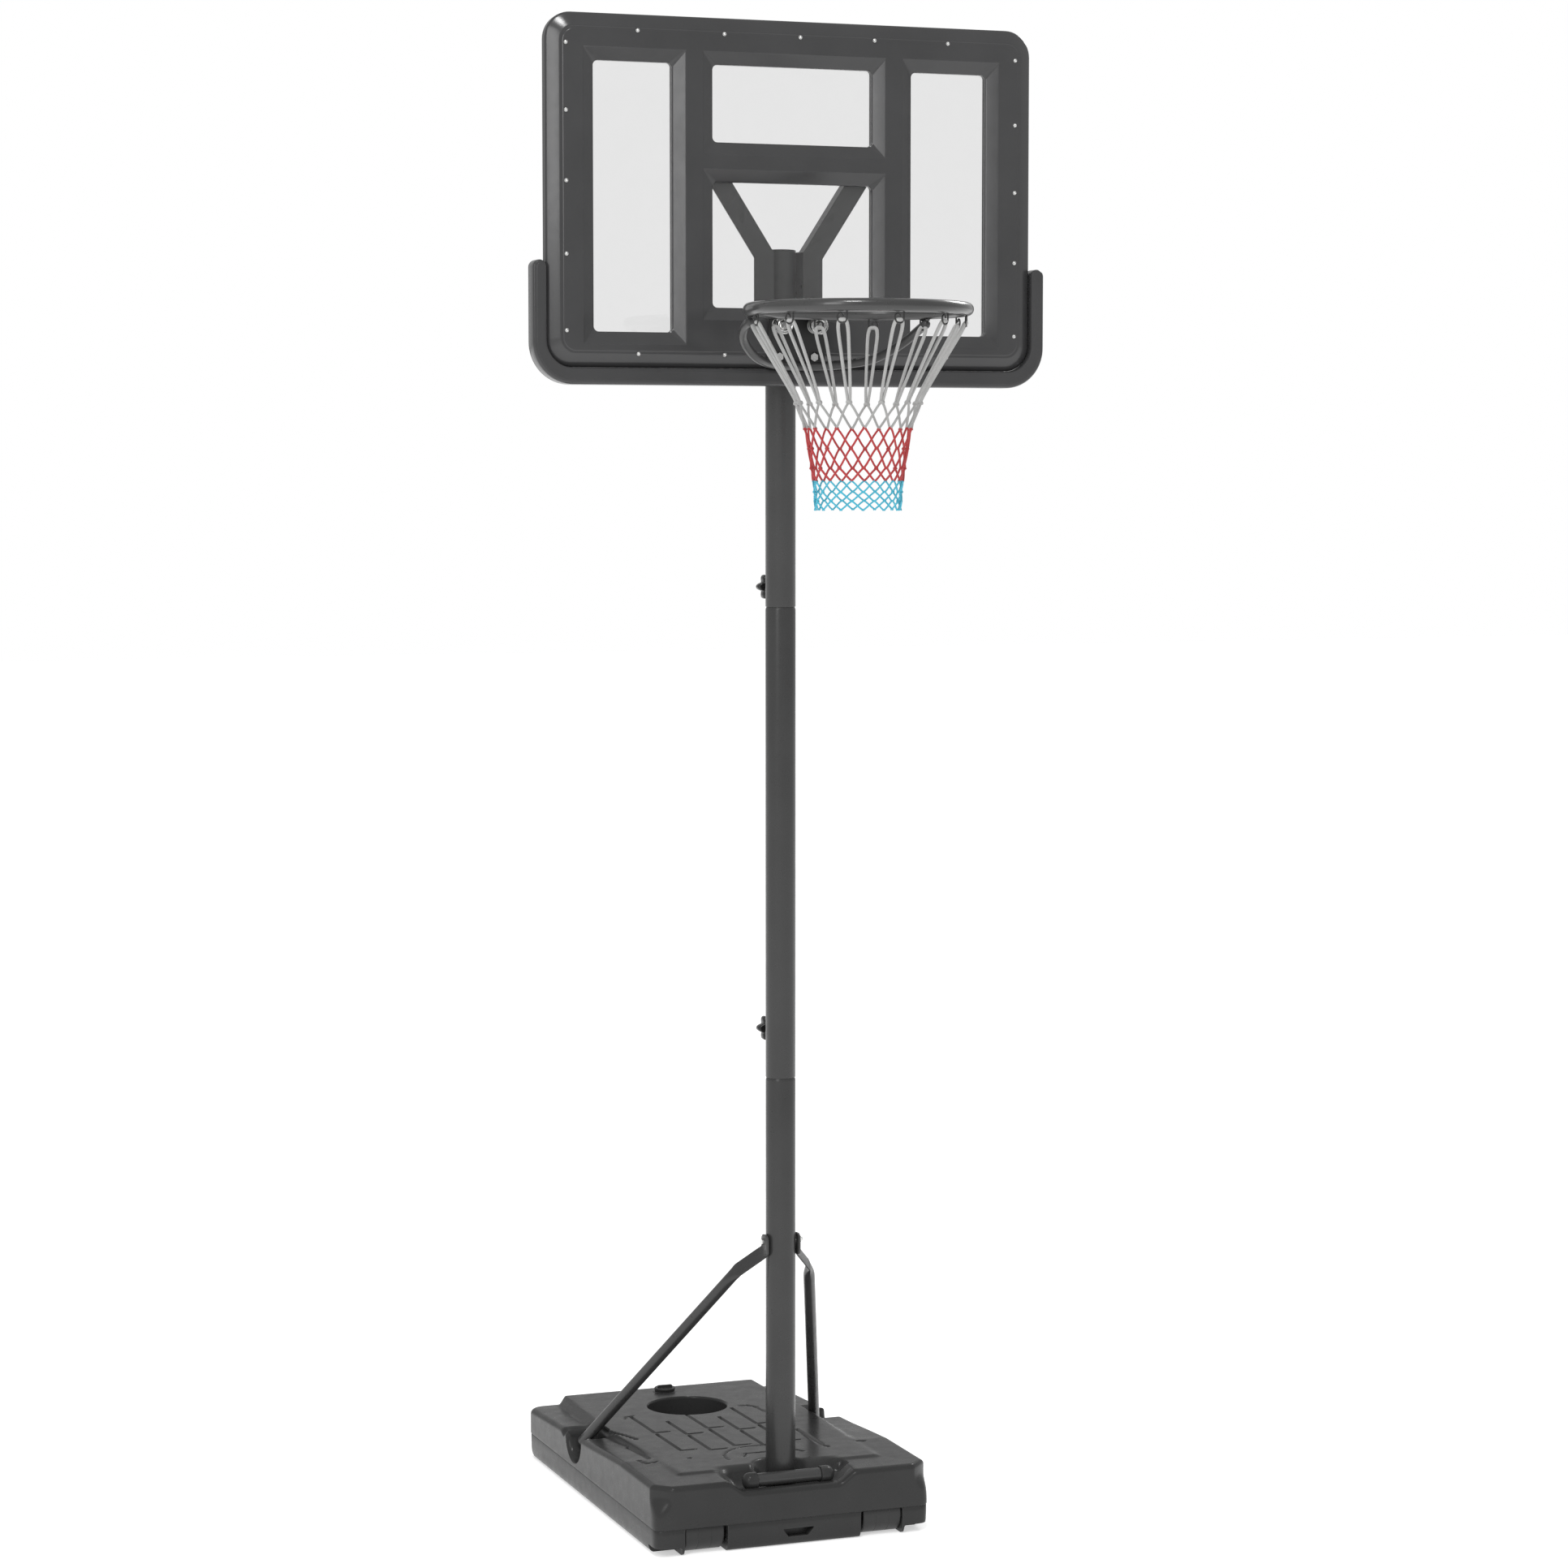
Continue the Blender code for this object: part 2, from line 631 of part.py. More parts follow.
def make_knob(tag, index, pole):
    z = knob_height(index)
    star = star_outline()
    rings = [
        [Vector((x * scale, y, z + w * scale)) for x, w in star]
        for y, scale in ((0.0560, 0.86), (0.0585, 1.0), (0.0735, 1.0), (0.0780, 0.86))
    ]
    head = loft(f"{tag}_knob", rings, BLACK, origin=(0, 0.0670, z))
    join(head, rod(f"{tag}_knob_neck", (0, 0.0465, z), (0, 0.0580, z), 0.0105, cutter=True))
    cut(head, rod(f"{tag}_knob_bore", (0, 0.040, z), (0, STUD_TIP_Y + GAP, z), BOLT_HOLE_R, cutter=True))
    rod(f"{tag}_stud", (0, STUD_INNER_Y, z), (0, STUD_TIP_Y, z), BOLT_R, ZINC)
    boss = rod(f"{tag}_weld_nut", (0, POLE_R + 0.0004, z), (0, 0.0440, z), 0.0090, PAINT, sides=6)
    cut(boss, rod(f"{tag}_weld_nut_hole", (0, 0.02, z), (0, 0.05, z), MOUNT_HOLE_R, cutter=True))
    cut(pole, rod(f"{tag}_wall_hole", (0, 0.02, z), (0, 0.04, z), 0.0050, cutter=True))


def make_pole():
    lower = pole_section("lower_pole", POLE_FOOT_Z, LOWER_JOINT_Z, True, 0)
    adjust_holes(lower, 0)
    cut(lower, rod(
        "strut_bolt_hole", (-0.05, 0, STRUT_BOLT_Z), (0.05, 0, STRUT_BOLT_Z), BOLT_HOLE_R, cutter=True
    ))
    middle = pole_section("middle_pole", LOWER_JOINT_Z + GAP, UPPER_JOINT_Z, True, 0.0012)
    adjust_holes(middle, 1)
    upper = pole_section("upper_pole", UPPER_JOINT_Z + GAP, POLE_TOP_Z, False, 0.0012)
    for z in POLE_BOLT_Z:
        cut(upper, rod(f"pole_bolt_hole_{z}", (-0.05, 0, z), (0.05, 0, z), BOLT_HOLE_R, cutter=True))
    make_knob("lower", 0, middle)
    make_knob("upper", 1, upper)

    low = POLE_TOP_Z + GAP
    cap = [
        (0, low + 0.004), (POLE_R - 0.003, low + 0.004), (POLE_R, low + 0.001), (POLE_R, low),
        (POLE_R - POLE_WALL - 0.0006, low), (POLE_R - POLE_WALL - 0.0006, low - 0.016), (0, low - 0.016),
    ]
    turned("pole_cap", cap, BLACK, (0, 0, 0))

    half = FOOT_TUBE_HALF
    tube = [
        (FOOT_TUBE_R, half), (FOOT_TUBE_R, -half), (FOOT_TUBE_R - 0.002, -half), (FOOT_TUBE_R - 0.002, half)
    ]
    foot = turned("pole_foot_tube", tube, PAINT, (0, FOOT_TUBE_Y, FOOT_TUBE_Z), axis="X", steps=24)
    cut(foot, rod("pole_saddle", (0, 0, 0.1), (0, 0, 0.2), POLE_R + GAP, sides=SEGMENTS, cutter=True))
    rod(
        "foot_pin", (-FOOT_PIN_HALF, FOOT_TUBE_Y, FOOT_TUBE_Z), (FOOT_PIN_HALF, FOOT_TUBE_Y, FOOT_TUBE_Z),
        FOOT_PIN_R, ZINC,
    )


# Struts

STRUT_AXIS = (STRUT_BEND - STRUT_FOOT).normalized()
STRUT_END = STRUT_FOOT + STRUT_AXIS * ((STRUT_END_Z - STRUT_FOOT.z) / STRUT_AXIS.z)
STRUT_PIN = STRUT_END + STRUT_AXIS * 0.016


def oval_ring(centre, wide_axis, thin_axis, half_wide, half_thin, count=SMALL_SEGMENTS):
    ring = []
    for i in range(count):
        angle = 2 * math.pi * i / count
        across = wide_axis * half_wide * math.cos(angle)
        ring.append(centre + across + thin_axis * half_thin * math.sin(angle))
    return ring


def make_strut(side, tag):
    """A round tube whose upper end is pressed flat and bent in to an upright tab beside the pole."""
    mirror = Matrix.Diagonal((side, 1, 1))
    strip_axis = (STRUT_FOLD - STRUT_BEND).normalized()
    broad = strip_axis.cross(STRUT_AXIS).normalized()
    thin, strip_thin = STRUT_AXIS.cross(broad), strip_axis.cross(broad)
    rings = [
        oval_ring(STRUT_END, broad, thin, STRUT_R, STRUT_R),
        oval_ring(STRUT_BEND - STRUT_AXIS * 0.034, broad, thin, STRUT_R, STRUT_R),
        oval_ring(STRUT_BEND - STRUT_AXIS * 0.012, broad, thin, 0.0147, 0.0068),
        oval_ring(STRUT_BEND, broad, (thin + strip_thin).normalized(), 0.0155, 0.0034),
        oval_ring(STRUT_BEND + strip_axis * 0.010, broad, strip_thin, 0.0155, STRUT_TAB_HALF),
        oval_ring(STRUT_FOLD + strip_axis * 0.003, broad, strip_thin, 0.0150, STRUT_TAB_HALF),
    ]
    bore = [
        oval_ring(STRUT_END - STRUT_AXIS * 0.01, broad, thin, STRUT_R - 0.0015, STRUT_R - 0.0015),
        oval_ring(STRUT_BEND - STRUT_AXIS * 0.038, broad, thin, STRUT_R - 0.0015, STRUT_R - 0.0015),
    ]
    tab = rounded_rectangle(-0.020, 0.015, 0.608, STRUT_BOLT_Z + 0.0148, 0.012)
    faces = (STRUT_TAB_X - STRUT_TAB_HALF, STRUT_TAB_X + STRUT_TAB_HALF)
    tab_rings = [[Vector((side * x, y, z)) for y, z in tab] for x in faces]
    strut = loft(f"strut_{tag}", [[mirror @ point for point in ring] for ring in rings], PAINT)
    join(strut, loft(f"strut_tab_{tag}", tab_rings, cutter=True))
    cut(strut, loft(f"strut_bore_{tag}", [[mirror @ point for point in ring] for ring in bore], cutter=True))
    cut(strut, rod(f"pole_space_{tag}", (0, 0, 0.56), (0, 0, 0.70), POLE_R + 0.0005, cutter=True))
    pin_x = side * STRUT_PIN.x
    cut(
        strut,
        rod(f"strut_pin_hole_{tag}", (pin_x, 0.43, STRUT_PIN.z), (pin_x, 0.55, STRUT_PIN.z), BOLT_HOLE_R,
            cutter=True),
        rod(f"strut_tab_hole_{tag}", (side * 0.02, 0, STRUT_BOLT_Z), (side * 0.06, 0, STRUT_BOLT_Z),
            BOLT_HOLE_R, cutter=True),
    )
    rod(
        f"strut_pin_{tag}", (pin_x, POCKET_Y[0] - PIN_BURIED, STRUT_PIN.z),
        (pin_x, POCKET_Y[1] + PIN_BURIED, STRUT_PIN.z), BOLT_R, ZINC,
    )


def make_struts():
    make_strut(-1, "left")
    make_strut(1, "right")
    through_bolt("strut_bolt", "strut_nut", STRUT_TAB_X + STRUT_TAB_HALF + GAP, STRUT_BOLT_Z)


# Board

def window_cutter(name, window, low_y, walls):
    """A window's opening from low_y forwards; walls gives its slope, or nothing for a straight hole."""
    x_low, x_high, z_low, z_high = window
    rings = [upright(rounded_rectangle(x_low, x_high, z_low, z_high, WINDOW_CORNER), low_y)]
    for ahead, grow in walls or [(0.05, 0.0)]:
        corner = WINDOW_CORNER + grow
        outline = rounded_rectangle(x_low - grow, x_high + grow, z_low - grow, z_high + grow, corner)
        rings.append(upright(outline, (FRAME_BACK if walls else low_y) - ahead))
    return loft(name, rings, cutter=True)


def frame_outline(inset, corner):
    return rounded_rectangle(
        -FRAME_HALF + inset, FRAME_HALF - inset, FRAME_BOTTOM + inset, FRAME_TOP - inset, corner, steps=4
    )


def make_board():
    rings = [
        upright(frame_outline(0, FRAME_CORNER), FRAME_BACK),
        upright(frame_outline(0, FRAME_CORNER), CHAMFER_BACK),
        upright(frame_outline(FRAME_CHAMFER * 0.3, FRAME_CORNER - 0.006), CHAMFER_BACK - 0.009),
        upright(frame_outline(FRAME_CHAMFER, FRAME_CORNER - 0.020), BOARD_FRONT),
    ]
    frame = loft("board_frame", rings, MOULDED)
    rings = [
        upright(frame_outline(0.001, FRAME_CORNER), BOARD_BACK),
        upright(frame_outline(0.001, FRAME_CORNER), PANEL_BACK + GAP),
    ]
    backing = loft("backing_frame", rings, MOULDED)
    for i, window in enumerate(WINDOWS):
        cut(frame, window_cutter(f"window_{i}", window, FRAME_BACK + 0.01, WINDOW_WALL))
        grown = tuple(edge + grow for edge, grow in zip(window, (-0.002, 0.002, -0.002, 0.002)))
        cut(backing, window_cutter(f"back_window_{i}", grown, BOARD_BACK + 0.01, None))
    panel = frame_outline(0.012, FRAME_CORNER - 0.010)
    sheet = loft("board_panel", [upright(panel, PANEL_BACK), upright(panel, FRAME_BACK + GAP)], CLEAR)
    for x, z in mount_bolt_places():
        tag = f"{x:.4f}_{z:.3f}"
        for piece in (frame, sheet, backing):
            hole = rod(f"{piece.name}_hole_{tag}", (x, -0.10, z), (x, -0.04, z), MOUNT_HOLE_R, cutter=True)
            cut(piece, hole)


def mount_bolt_places():
    lower = [(side * MOUNT_BOLT_X, MOUNT_BOLT_Z) for side in (-1, 1)]
    upper = [(side * SPRING_X, SPRING_Z) for side in (-1, 1)]
    return lower + upper


def trim_outline(inset):
    """A U round the board's lower half, as (x, z) pairs; inset draws it in from all its edges."""
    outer_x = TRIM_HALF - inset
    inner_x = FRAME_HALF + 0.0005 + inset
    bottom, top_edge = TRIM_BOTTOM + inset, FRAME_BOTTOM - 0.0005 - inset
    outer_r = TRIM_CORNER - inset
    inner_r = FRAME_CORNER - 0.0005 + inset
    end_r = (outer_x - inner_x) / 2
    right = []
    outer_corner = (outer_x - outer_r, bottom + outer_r)
    end_centre = (outer_x - end_r, TRIM_END_Z - TRIM_END_ROUND)
    inner_corner = (inner_x - inner_r, top_edge + inner_r)
    arcs = [
        (outer_corner, outer_r, -90, 0, 7),
        (end_centre, end_r, 0, 180, 6),
        (inner_corner, inner_r, 0, -90, 6),
    ]
    for (x, z), radius, start, end, steps in arcs:
        for i in range(steps + 1):
            angle = math.radians(start + (end - start) * i / steps)
            right.append((x + radius * math.cos(angle), z + radius * math.sin(angle)))
    left = [(-x, z) for x, z in reversed(right)]
    return right + left



def make_trim():
    edge = [
        (TRIM_BACK, 0.003), (TRIM_BACK - 0.004, 0.0), (TRIM_FRONT + 0.010, 0.0), (TRIM_FRONT + 0.003, 0.003),
        (TRIM_FRONT, 0.008),
    ]
    loft("board_trim", [upright(trim_outline(inset), y) for y, inset in edge], MOULDED)


# Bracket behind the board

def make_arm(side, tag):
    """An angle-section arm: a flange on the board's back and a leg that runs rearwards."""
    rise = ARM_TOP_Z - ARM_BEND_Z
    inner_bend = ARM_BEND_Z + 0.012
    inner_top = ARM_INNER_X + ARM_SLOPE * (ARM_TOP_Z - inner_bend)
    flange = [
        (0.0200, ARM_BOTTOM), (ARM_OUTER_X, ARM_BOTTOM), (ARM_OUTER_X, ARM_BEND_Z),
        (ARM_OUTER_X + ARM_SLOPE * rise, ARM_TOP_Z), (inner_top, ARM_TOP_Z), (ARM_INNER_X, inner_bend),
        (ARM_INNER_X, 2.612), (0.0200, 2.600),
    ]
    leg = [
        (ARM_INNER_X, inner_bend), (ARM_INNER_X + 0.0036, inner_bend),
        (inner_top + 0.0036, ARM_TOP_Z), (inner_top, ARM_TOP_Z),
    ]
    pole_leg = [
        (ARM_INNER_X, 2.618), (ARM_INNER_X + ARM_STEEL, 2.618),
        (ARM_INNER_X + ARM_STEEL, inner_bend + 0.004), (ARM_INNER_X, inner_bend + 0.002),
    ]

    def plate(name, outline, front, back, cutter):
        flat = [(side * x, z) for x, z in outline]
        return loft(name, [upright(flat, front), upright(flat, back)], PAINT, cutter=cutter)

    arm = plate(f"bracket_arm_{tag}", flange, ARM_FRONT, ARM_FRONT + ARM_STEEL, False)
    join(
        arm,
        plate(f"arm_leg_{tag}", leg, ARM_FRONT + 0.001, ARM_LEG_BACK, True),
        plate(f"arm_pole_leg_{tag}", pole_leg, ARM_FRONT + 0.0012, ARM_POLE_LEG_BACK, True),
    )
    for z in POLE_BOLT_Z:
        cut(arm, rod(
            f"arm_pole_hole_{tag}_{z}", (side * 0.028, 0, z), (side * 0.042, 0, z), BOLT_HOLE_R, cutter=True
        ))
    for x, z in mount_bolt_places():
        if x * side > 0:
            name = f"arm_mount_hole_{tag}_{z}"
            cut(arm, rod(name, (x, -0.06, z), (x, -0.03, z), MOUNT_HOLE_R, cutter=True))


def make_bracket():
    make_arm(-1, "left")
    make_arm(1, "right")
    for tag, z in zip(("lower", "upper"), POLE_BOLT_Z):
        through_bolt(f"pole_bolt_{tag}", f"pole_nut_{tag}", ARM_INNER_X + ARM_STEEL + GAP, z)


# Rim

def make_rim_ring():
    bpy.ops.mesh.primitive_torus_add(
        major_segments=32, minor_segments=8, major_radius=RIM_RADIUS, minor_radius=RIM_BAR_R,
        location=(0, RIM_Y, RIM_Z),
    )
    ring = bpy.context.object
    ring.name = "rim_ring"
    ring.data.name = "rim_ring"
    ring.data.materials.append(PAINT)
    ring.data.shade_smooth()
    for owner in list(ring.users_collection):
        owner.objects.unlink(ring)
    PARTS.objects.link(ring)


def make_rim_bracket():
    """A pressed plate on the board with a top flange that reaches over the back of the ring."""
    plate_low = (-BRACKET_HALF, BRACKET_FRONT, PIVOT_Z)
    plate_high = (BRACKET_HALF, PIVOT_Y, FLANGE_Z + 0.001)
    plate = block("rim_bracket", plate_low, plate_high, PAINT)
    reach = RIM_Y + RIM_RADIUS - 0.014
    top = [
        (-BRACKET_HALF, PIVOT_Y), (BRACKET_HALF, PIVOT_Y), (BRACKET_HALF, PIVOT_Y - 0.040), (0.085, reach),
        (-0.085, reach), (-BRACKET_HALF, PIVOT_Y - 0.040),
    ]
    flange = loft(
        "rim_flange", [[Vector((x, y, z)) for x, y in top] for z in (FLANGE_Z, FLANGE_Z + 0.003)], cutter=True
    )
    join(plate, flange)
    holes = [(SPRING_X, SPRING_Z, SPRING_CLEARANCE_R), (MOUNT_BOLT_X, MOUNT_BOLT_Z, HEAD_CLEARANCE_R)]
    for x, z, radius in holes:
        for side in (-1, 1):
            name = f"bracket_hole_{side * x}_{z}"
            cut(plate, rod(name, (side * x, -0.11, z), (side * x, -0.08, z), radius, cutter=True))


def make_mount_plate():
    plate = block("mount_plate", (-0.058, MOUNT_PLATE_FRONT, 2.494), (0.058, BOARD_FRONT - GAP, 2.598), PAINT)
    for x, z in mount_bolt_places():
        name = f"mount_plate_hole_{x:.4f}_{z:.3f}"
        cut(plate, rod(name, (x, -0.10, z), (x, -0.08, z), MOUNT_HOLE_R, cutter=True))


def smooth_path(points, steps):
    """Points along a Catmull-Rom curve through the given ones."""
    ends = [points[0] * 2 - points[1]] + points + [points[-1] * 2 - points[-2]]
    path = []
    for a, b, c, d in zip(ends, ends[1:], ends[2:], ends[3:]):
        for i in range(steps):
            t = i / steps
            path.append(0.5 * (
                2 * b + (c - a) * t + (2 * a - 5 * b + 4 * c - d) * t * t + (3 * b - a - 3 * c + d) * t ** 3
            ))
    path.append(points[-1])
    return path


def wire(name, path, radius, material, resolution):
    """A round bar or wire along a path."""
    curve = bpy.data.curves.new(name, "CURVE")
    curve.dimensions = "3D"
    curve.bevel_depth = radius
    curve.bevel_resolution = resolution
    curve.use_fill_caps = True
    curve.render_resolution_u = 0
    spline = curve.splines.new("POLY")
    spline.points.add(len(path) - 1)
    for point, place in zip(spline.points, path):
        point.co = (*place, 1.0)
    curve.materials.append(material)
    made = bpy.data.objects.new(name, curve)
    PARTS.objects.link(made)
    return made


def make_brace():
    """A bent bar from under one side of the ring, down and back past the plate, to the other side."""
    half = [
        Vector((0.1900, -0.3320, RIM_Z - RIM_BAR_R - BRACE_R - 0.0005)),
        Vector((0.1895, -0.3000, 2.5600)),
        Vector((0.1797, -0.2620, 2.5410)),
        Vector((0.1560, -0.2280, 2.5190)),
        Vector((0.1200, -0.1930, 2.4995)),
        Vector((0.0650, -0.1400, 2.4905)),
        Vector((0.0000, -0.1055, 2.4890)),
    ]
    route = half + [Vector((-p.x, p.y, p.z)) for p in reversed(half[:-1])]
    wire("rim_brace", smooth_path(route, 2), BRACE_R, PAINT, 1)


def make_spring(side, tag):
    """A compression spring with its axis along Y, between the bracket and its disc."""
    start = BRACKET_FRONT - GAP - SPRING_WIRE_R
    end = DISC_BACK + GAP + SPRING_WIRE_R
    count = int(SPRING_TURNS * 10)
    path = []
    for i in range(count + 1):
        t = i / count
        angle = 2 * math.pi * SPRING_TURNS * t
        path.append(Vector((
            side * SPRING_X + SPRING_COIL_R * math.cos(angle), start + (end - start) * t,
            SPRING_Z + SPRING_COIL_R * math.sin(angle),
        )))
    wire(f"rim_spring_{tag}", path, SPRING_WIRE_R, ZINC, 0)


def mounting_bolt(kind, tag, x, z, face, head_r):
    """A bolt from front to back through the board and the arm, with a nut on the arm."""
    head_end = face - GAP - MOUNT_HEAD_HEIGHT
    bolt(f"{kind}_bolt_{tag}", (x, head_end, z), (x, MOUNT_TIP_Y, z), BOLT_R, head_r, MOUNT_HEAD_HEIGHT)
    nut_face = ARM_FRONT + ARM_STEEL + GAP
    nut(f"{kind}_nut_{tag}", (x, nut_face, z), (x, nut_face + NUT_LENGTH, z), NUT_R, BOLT_HOLE_R)


def make_spring_set(side, tag):
    x, z = side * SPRING_X, SPRING_Z
    disc = rod(f"spring_disc_{tag}", (x, DISC_FRONT, z), (x, DISC_BACK, z), DISC_R, ZINC, sides=SEGMENTS)
    cut(disc, rod(f"disc_hole_{tag}", (x, -0.15, z), (x, -0.11, z), BOLT_HOLE_R, cutter=True))
    mounting_bolt("spring", tag, x, z, DISC_FRONT, 0.0085)
    make_spring(side, tag)
    mounting_bolt("mount", tag, side * MOUNT_BOLT_X, MOUNT_BOLT_Z, MOUNT_PLATE_FRONT, 0.0090)


def make_net():
    outer = [(radius, RIM_Z - depth) for radius, depth in NET_PROFILE]
    inner = [(radius - NET_THICKNESS, z) for radius, z in reversed(outer)]
    turned("net", outer + inner, CORD, (0, RIM_Y, 0), steps=16)


def make_rim():
    make_mount_plate()
    make_rim_bracket()
    make_rim_ring()
    make_brace()
    for side, tag in ((-1, "left"), (1, "right")):
        make_spring_set(side, tag)
    make_net()


# Moving groups

def hold(name, place, *pieces):
    """An empty on a joint's axis that carries the named pieces, which keep their places."""
    holder = bpy.data.objects.new(name, None)
    holder.location = place
    holder.empty_display_size = 0.05
    PARTS.objects.link(holder)
    bpy.context.view_layer.update()
    for piece in pieces:
        child = bpy.data.objects[piece]
        child.parent = holder
        child.matrix_parent_inverse = holder.matrix_world.inverted()


def hold_moving_groups():
    hold("middle_slide", (0, 0, LOWER_JOINT_Z), "middle_pole", "lower_weld_nut")
    pairs = (
        "bracket_arm", "spring_disc", "spring_bolt", "spring_nut", "mount_bolt", "mount_nut", "rim_spring",
    )
    hold(
        "upper_slide", (0, 0, UPPER_JOINT_Z), "upper_pole", "upper_weld_nut", "pole_cap", "board_frame",
        "backing_frame", "board_panel", "board_trim", "mount_plate", "pole_bolt_lower", "pole_bolt_upper",
        "pole_nut_lower", "pole_nut_upper",
        *[f"{pair}_{side}" for pair in pairs for side in ("left", "right")],
    )
    hold("rim_pivot", (0, PIVOT_Y, PIVOT_Z), "rim_bracket", "rim_ring", "rim_brace", "net")


make_base()
make_filler_cap()
make_wheels()
make_pole()
make_struts()
make_board()
make_trim()
make_bracket()
make_rim()
hold_moving_groups()
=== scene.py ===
"""Looks of the portable basketball hoop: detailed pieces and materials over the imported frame.

Metres, +Z up. The origin is on the pole's axis at floor level, and the board and rim face -Y.
"""

import math

import bmesh
import bpy
import numpy as np
from mathutils import Matrix, Vector


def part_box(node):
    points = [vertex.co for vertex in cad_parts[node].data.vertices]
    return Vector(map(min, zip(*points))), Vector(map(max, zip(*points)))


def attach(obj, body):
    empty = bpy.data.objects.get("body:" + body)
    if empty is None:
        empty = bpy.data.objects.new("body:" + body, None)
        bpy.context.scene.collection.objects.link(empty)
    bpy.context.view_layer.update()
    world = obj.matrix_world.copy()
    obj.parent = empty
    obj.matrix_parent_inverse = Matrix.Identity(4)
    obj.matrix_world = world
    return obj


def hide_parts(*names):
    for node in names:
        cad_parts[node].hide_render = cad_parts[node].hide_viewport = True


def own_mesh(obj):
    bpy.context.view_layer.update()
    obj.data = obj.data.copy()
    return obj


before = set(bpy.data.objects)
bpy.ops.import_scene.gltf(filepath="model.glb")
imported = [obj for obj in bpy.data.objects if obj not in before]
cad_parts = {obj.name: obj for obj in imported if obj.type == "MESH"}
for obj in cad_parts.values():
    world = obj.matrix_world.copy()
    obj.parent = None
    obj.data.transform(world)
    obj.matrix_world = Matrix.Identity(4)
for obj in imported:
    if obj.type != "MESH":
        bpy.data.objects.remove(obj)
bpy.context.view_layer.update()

LEFT_RIGHT = ((-1, "left"), (1, "right"))
GAP = 0.0003  # clear space between neighbouring parts


# Materials

def new_material(name):
    made = bpy.data.materials.new(name)
    made.use_nodes = True
    tree = made.node_tree
    return made, tree, tree.nodes["Principled BSDF"]


def plug(tree, node, values):
    """Set a node's inputs by name: a socket is linked, and a colour is given as three channels."""
    for name, value in values.items():
        entry = node.inputs[name]
        if isinstance(value, bpy.types.NodeSocket):
            tree.links.new(value, entry)
        elif entry.type == "RGBA":
            entry.default_value = (*value, 1.0)
        else:
            entry.default_value = value


def add_node(tree, kind, values):
    node = tree.nodes.new("ShaderNode" + kind)
    plug(tree, node, values)
    return node


def noise(tree, source, scale, detail, roughness=0.5):
    values = {"Vector": source, "Scale": scale, "Detail": detail, "Roughness": roughness}
    return add_node(tree, "TexNoise", values).outputs["Fac"]


def spread(tree, value, low, high, start=0.3, end=0.7):
    """Map the part of a value between start and end to a range."""
    values = {"Value": value, "From Min": start, "From Max": end, "To Min": low, "To Max": high}
    return add_node(tree, "MapRange", values).outputs["Result"]


def blend_colours(tree, factor, first, second):
    node = tree.nodes.new("ShaderNodeMix")
    node.data_type = "RGBA"
    plug(tree, node, {"Factor": factor, "A": first, "B": second})
    return node.outputs["Result"]


def join_values(tree, operation, first, second):
    node = tree.nodes.new("ShaderNodeMath")
    node.operation = operation
    tree.links.new(first, node.inputs[0])
    tree.links.new(second, node.inputs[1])
    return node.outputs["Value"]


def bump(tree, height, distance, strength=1.0, below=None):
    values = {"Height": height, "Distance": distance, "Strength": strength}
    if below is not None:
        values["Normal"] = below
    return add_node(tree, "Bump", values).outputs["Normal"]


def object_coordinates(tree):
    return tree.nodes.new("ShaderNodeTexCoord").outputs["Object"]


def shade(colour, factor):
    return tuple(channel * factor for channel in colour)


def grey(level):
    return (level, level, level)


def coated(name, colour, roughness, grain, grain_depth, rub=0.0, wave=0.0, coat=0.0, specular=0.5):
    """A painted or moulded surface: mottled colour, uneven gloss, fine grain and a slow unevenness."""
    made, tree, shader = new_material(name)
    place = object_coordinates(tree)
    mottle = spread(tree, noise(tree, place, 7.0, 4.0), 0.0, 1.0)
    fine = noise(tree, place, grain, 2.0)
    speck = spread(tree, fine, 0.0, 0.35, 0.52, 0.75)
    tint = blend_colours(tree, mottle, shade(colour, 0.90), shade(colour, 1.10))
    tint = blend_colours(tree, speck, tint, shade(colour, 1.5))
    if rub:
        edges = tree.nodes.new("ShaderNodeNewGeometry").outputs["Pointiness"]
        tint = blend_colours(tree, spread(tree, edges, 0.0, rub, 0.53, 0.62), tint, shade(colour, 2.6))
    scuff = noise(tree, place, 38.0, 6.0, 0.65)
    normal = bump(tree, fine, grain_depth)
    if wave:
        normal = bump(tree, noise(tree, place, 9.0, 2.0), wave, below=normal)
    plug(tree, shader, {
        "Base Color": tint,
        "Roughness": spread(tree, scuff, roughness * 0.82, roughness * 1.2),
        "Specular IOR Level": specular,
        "Coat Weight": coat,
        "Coat Roughness": 0.12,
        "Normal": normal,
    })
    return made


def zinc_plate(name, colour, roughness, grain):
    """Bright plated steel with a fine grain and a blotchy haze."""
    made, tree, shader = new_material(name)
    place = object_coordinates(tree)
    haze = noise(tree, place, 60.0, 5.0, 0.6)
    plug(tree, shader, {
        "Base Color": blend_colours(tree, spread(tree, haze, 0.0, 1.0), shade(colour, 0.80), colour),
        "Roughness": spread(tree, haze, roughness * 0.7, roughness * 1.4),
        "Metallic": 1.0,
        "Normal": bump(tree, noise(tree, place, grain, 2.0), 0.00004),
    })
    return made


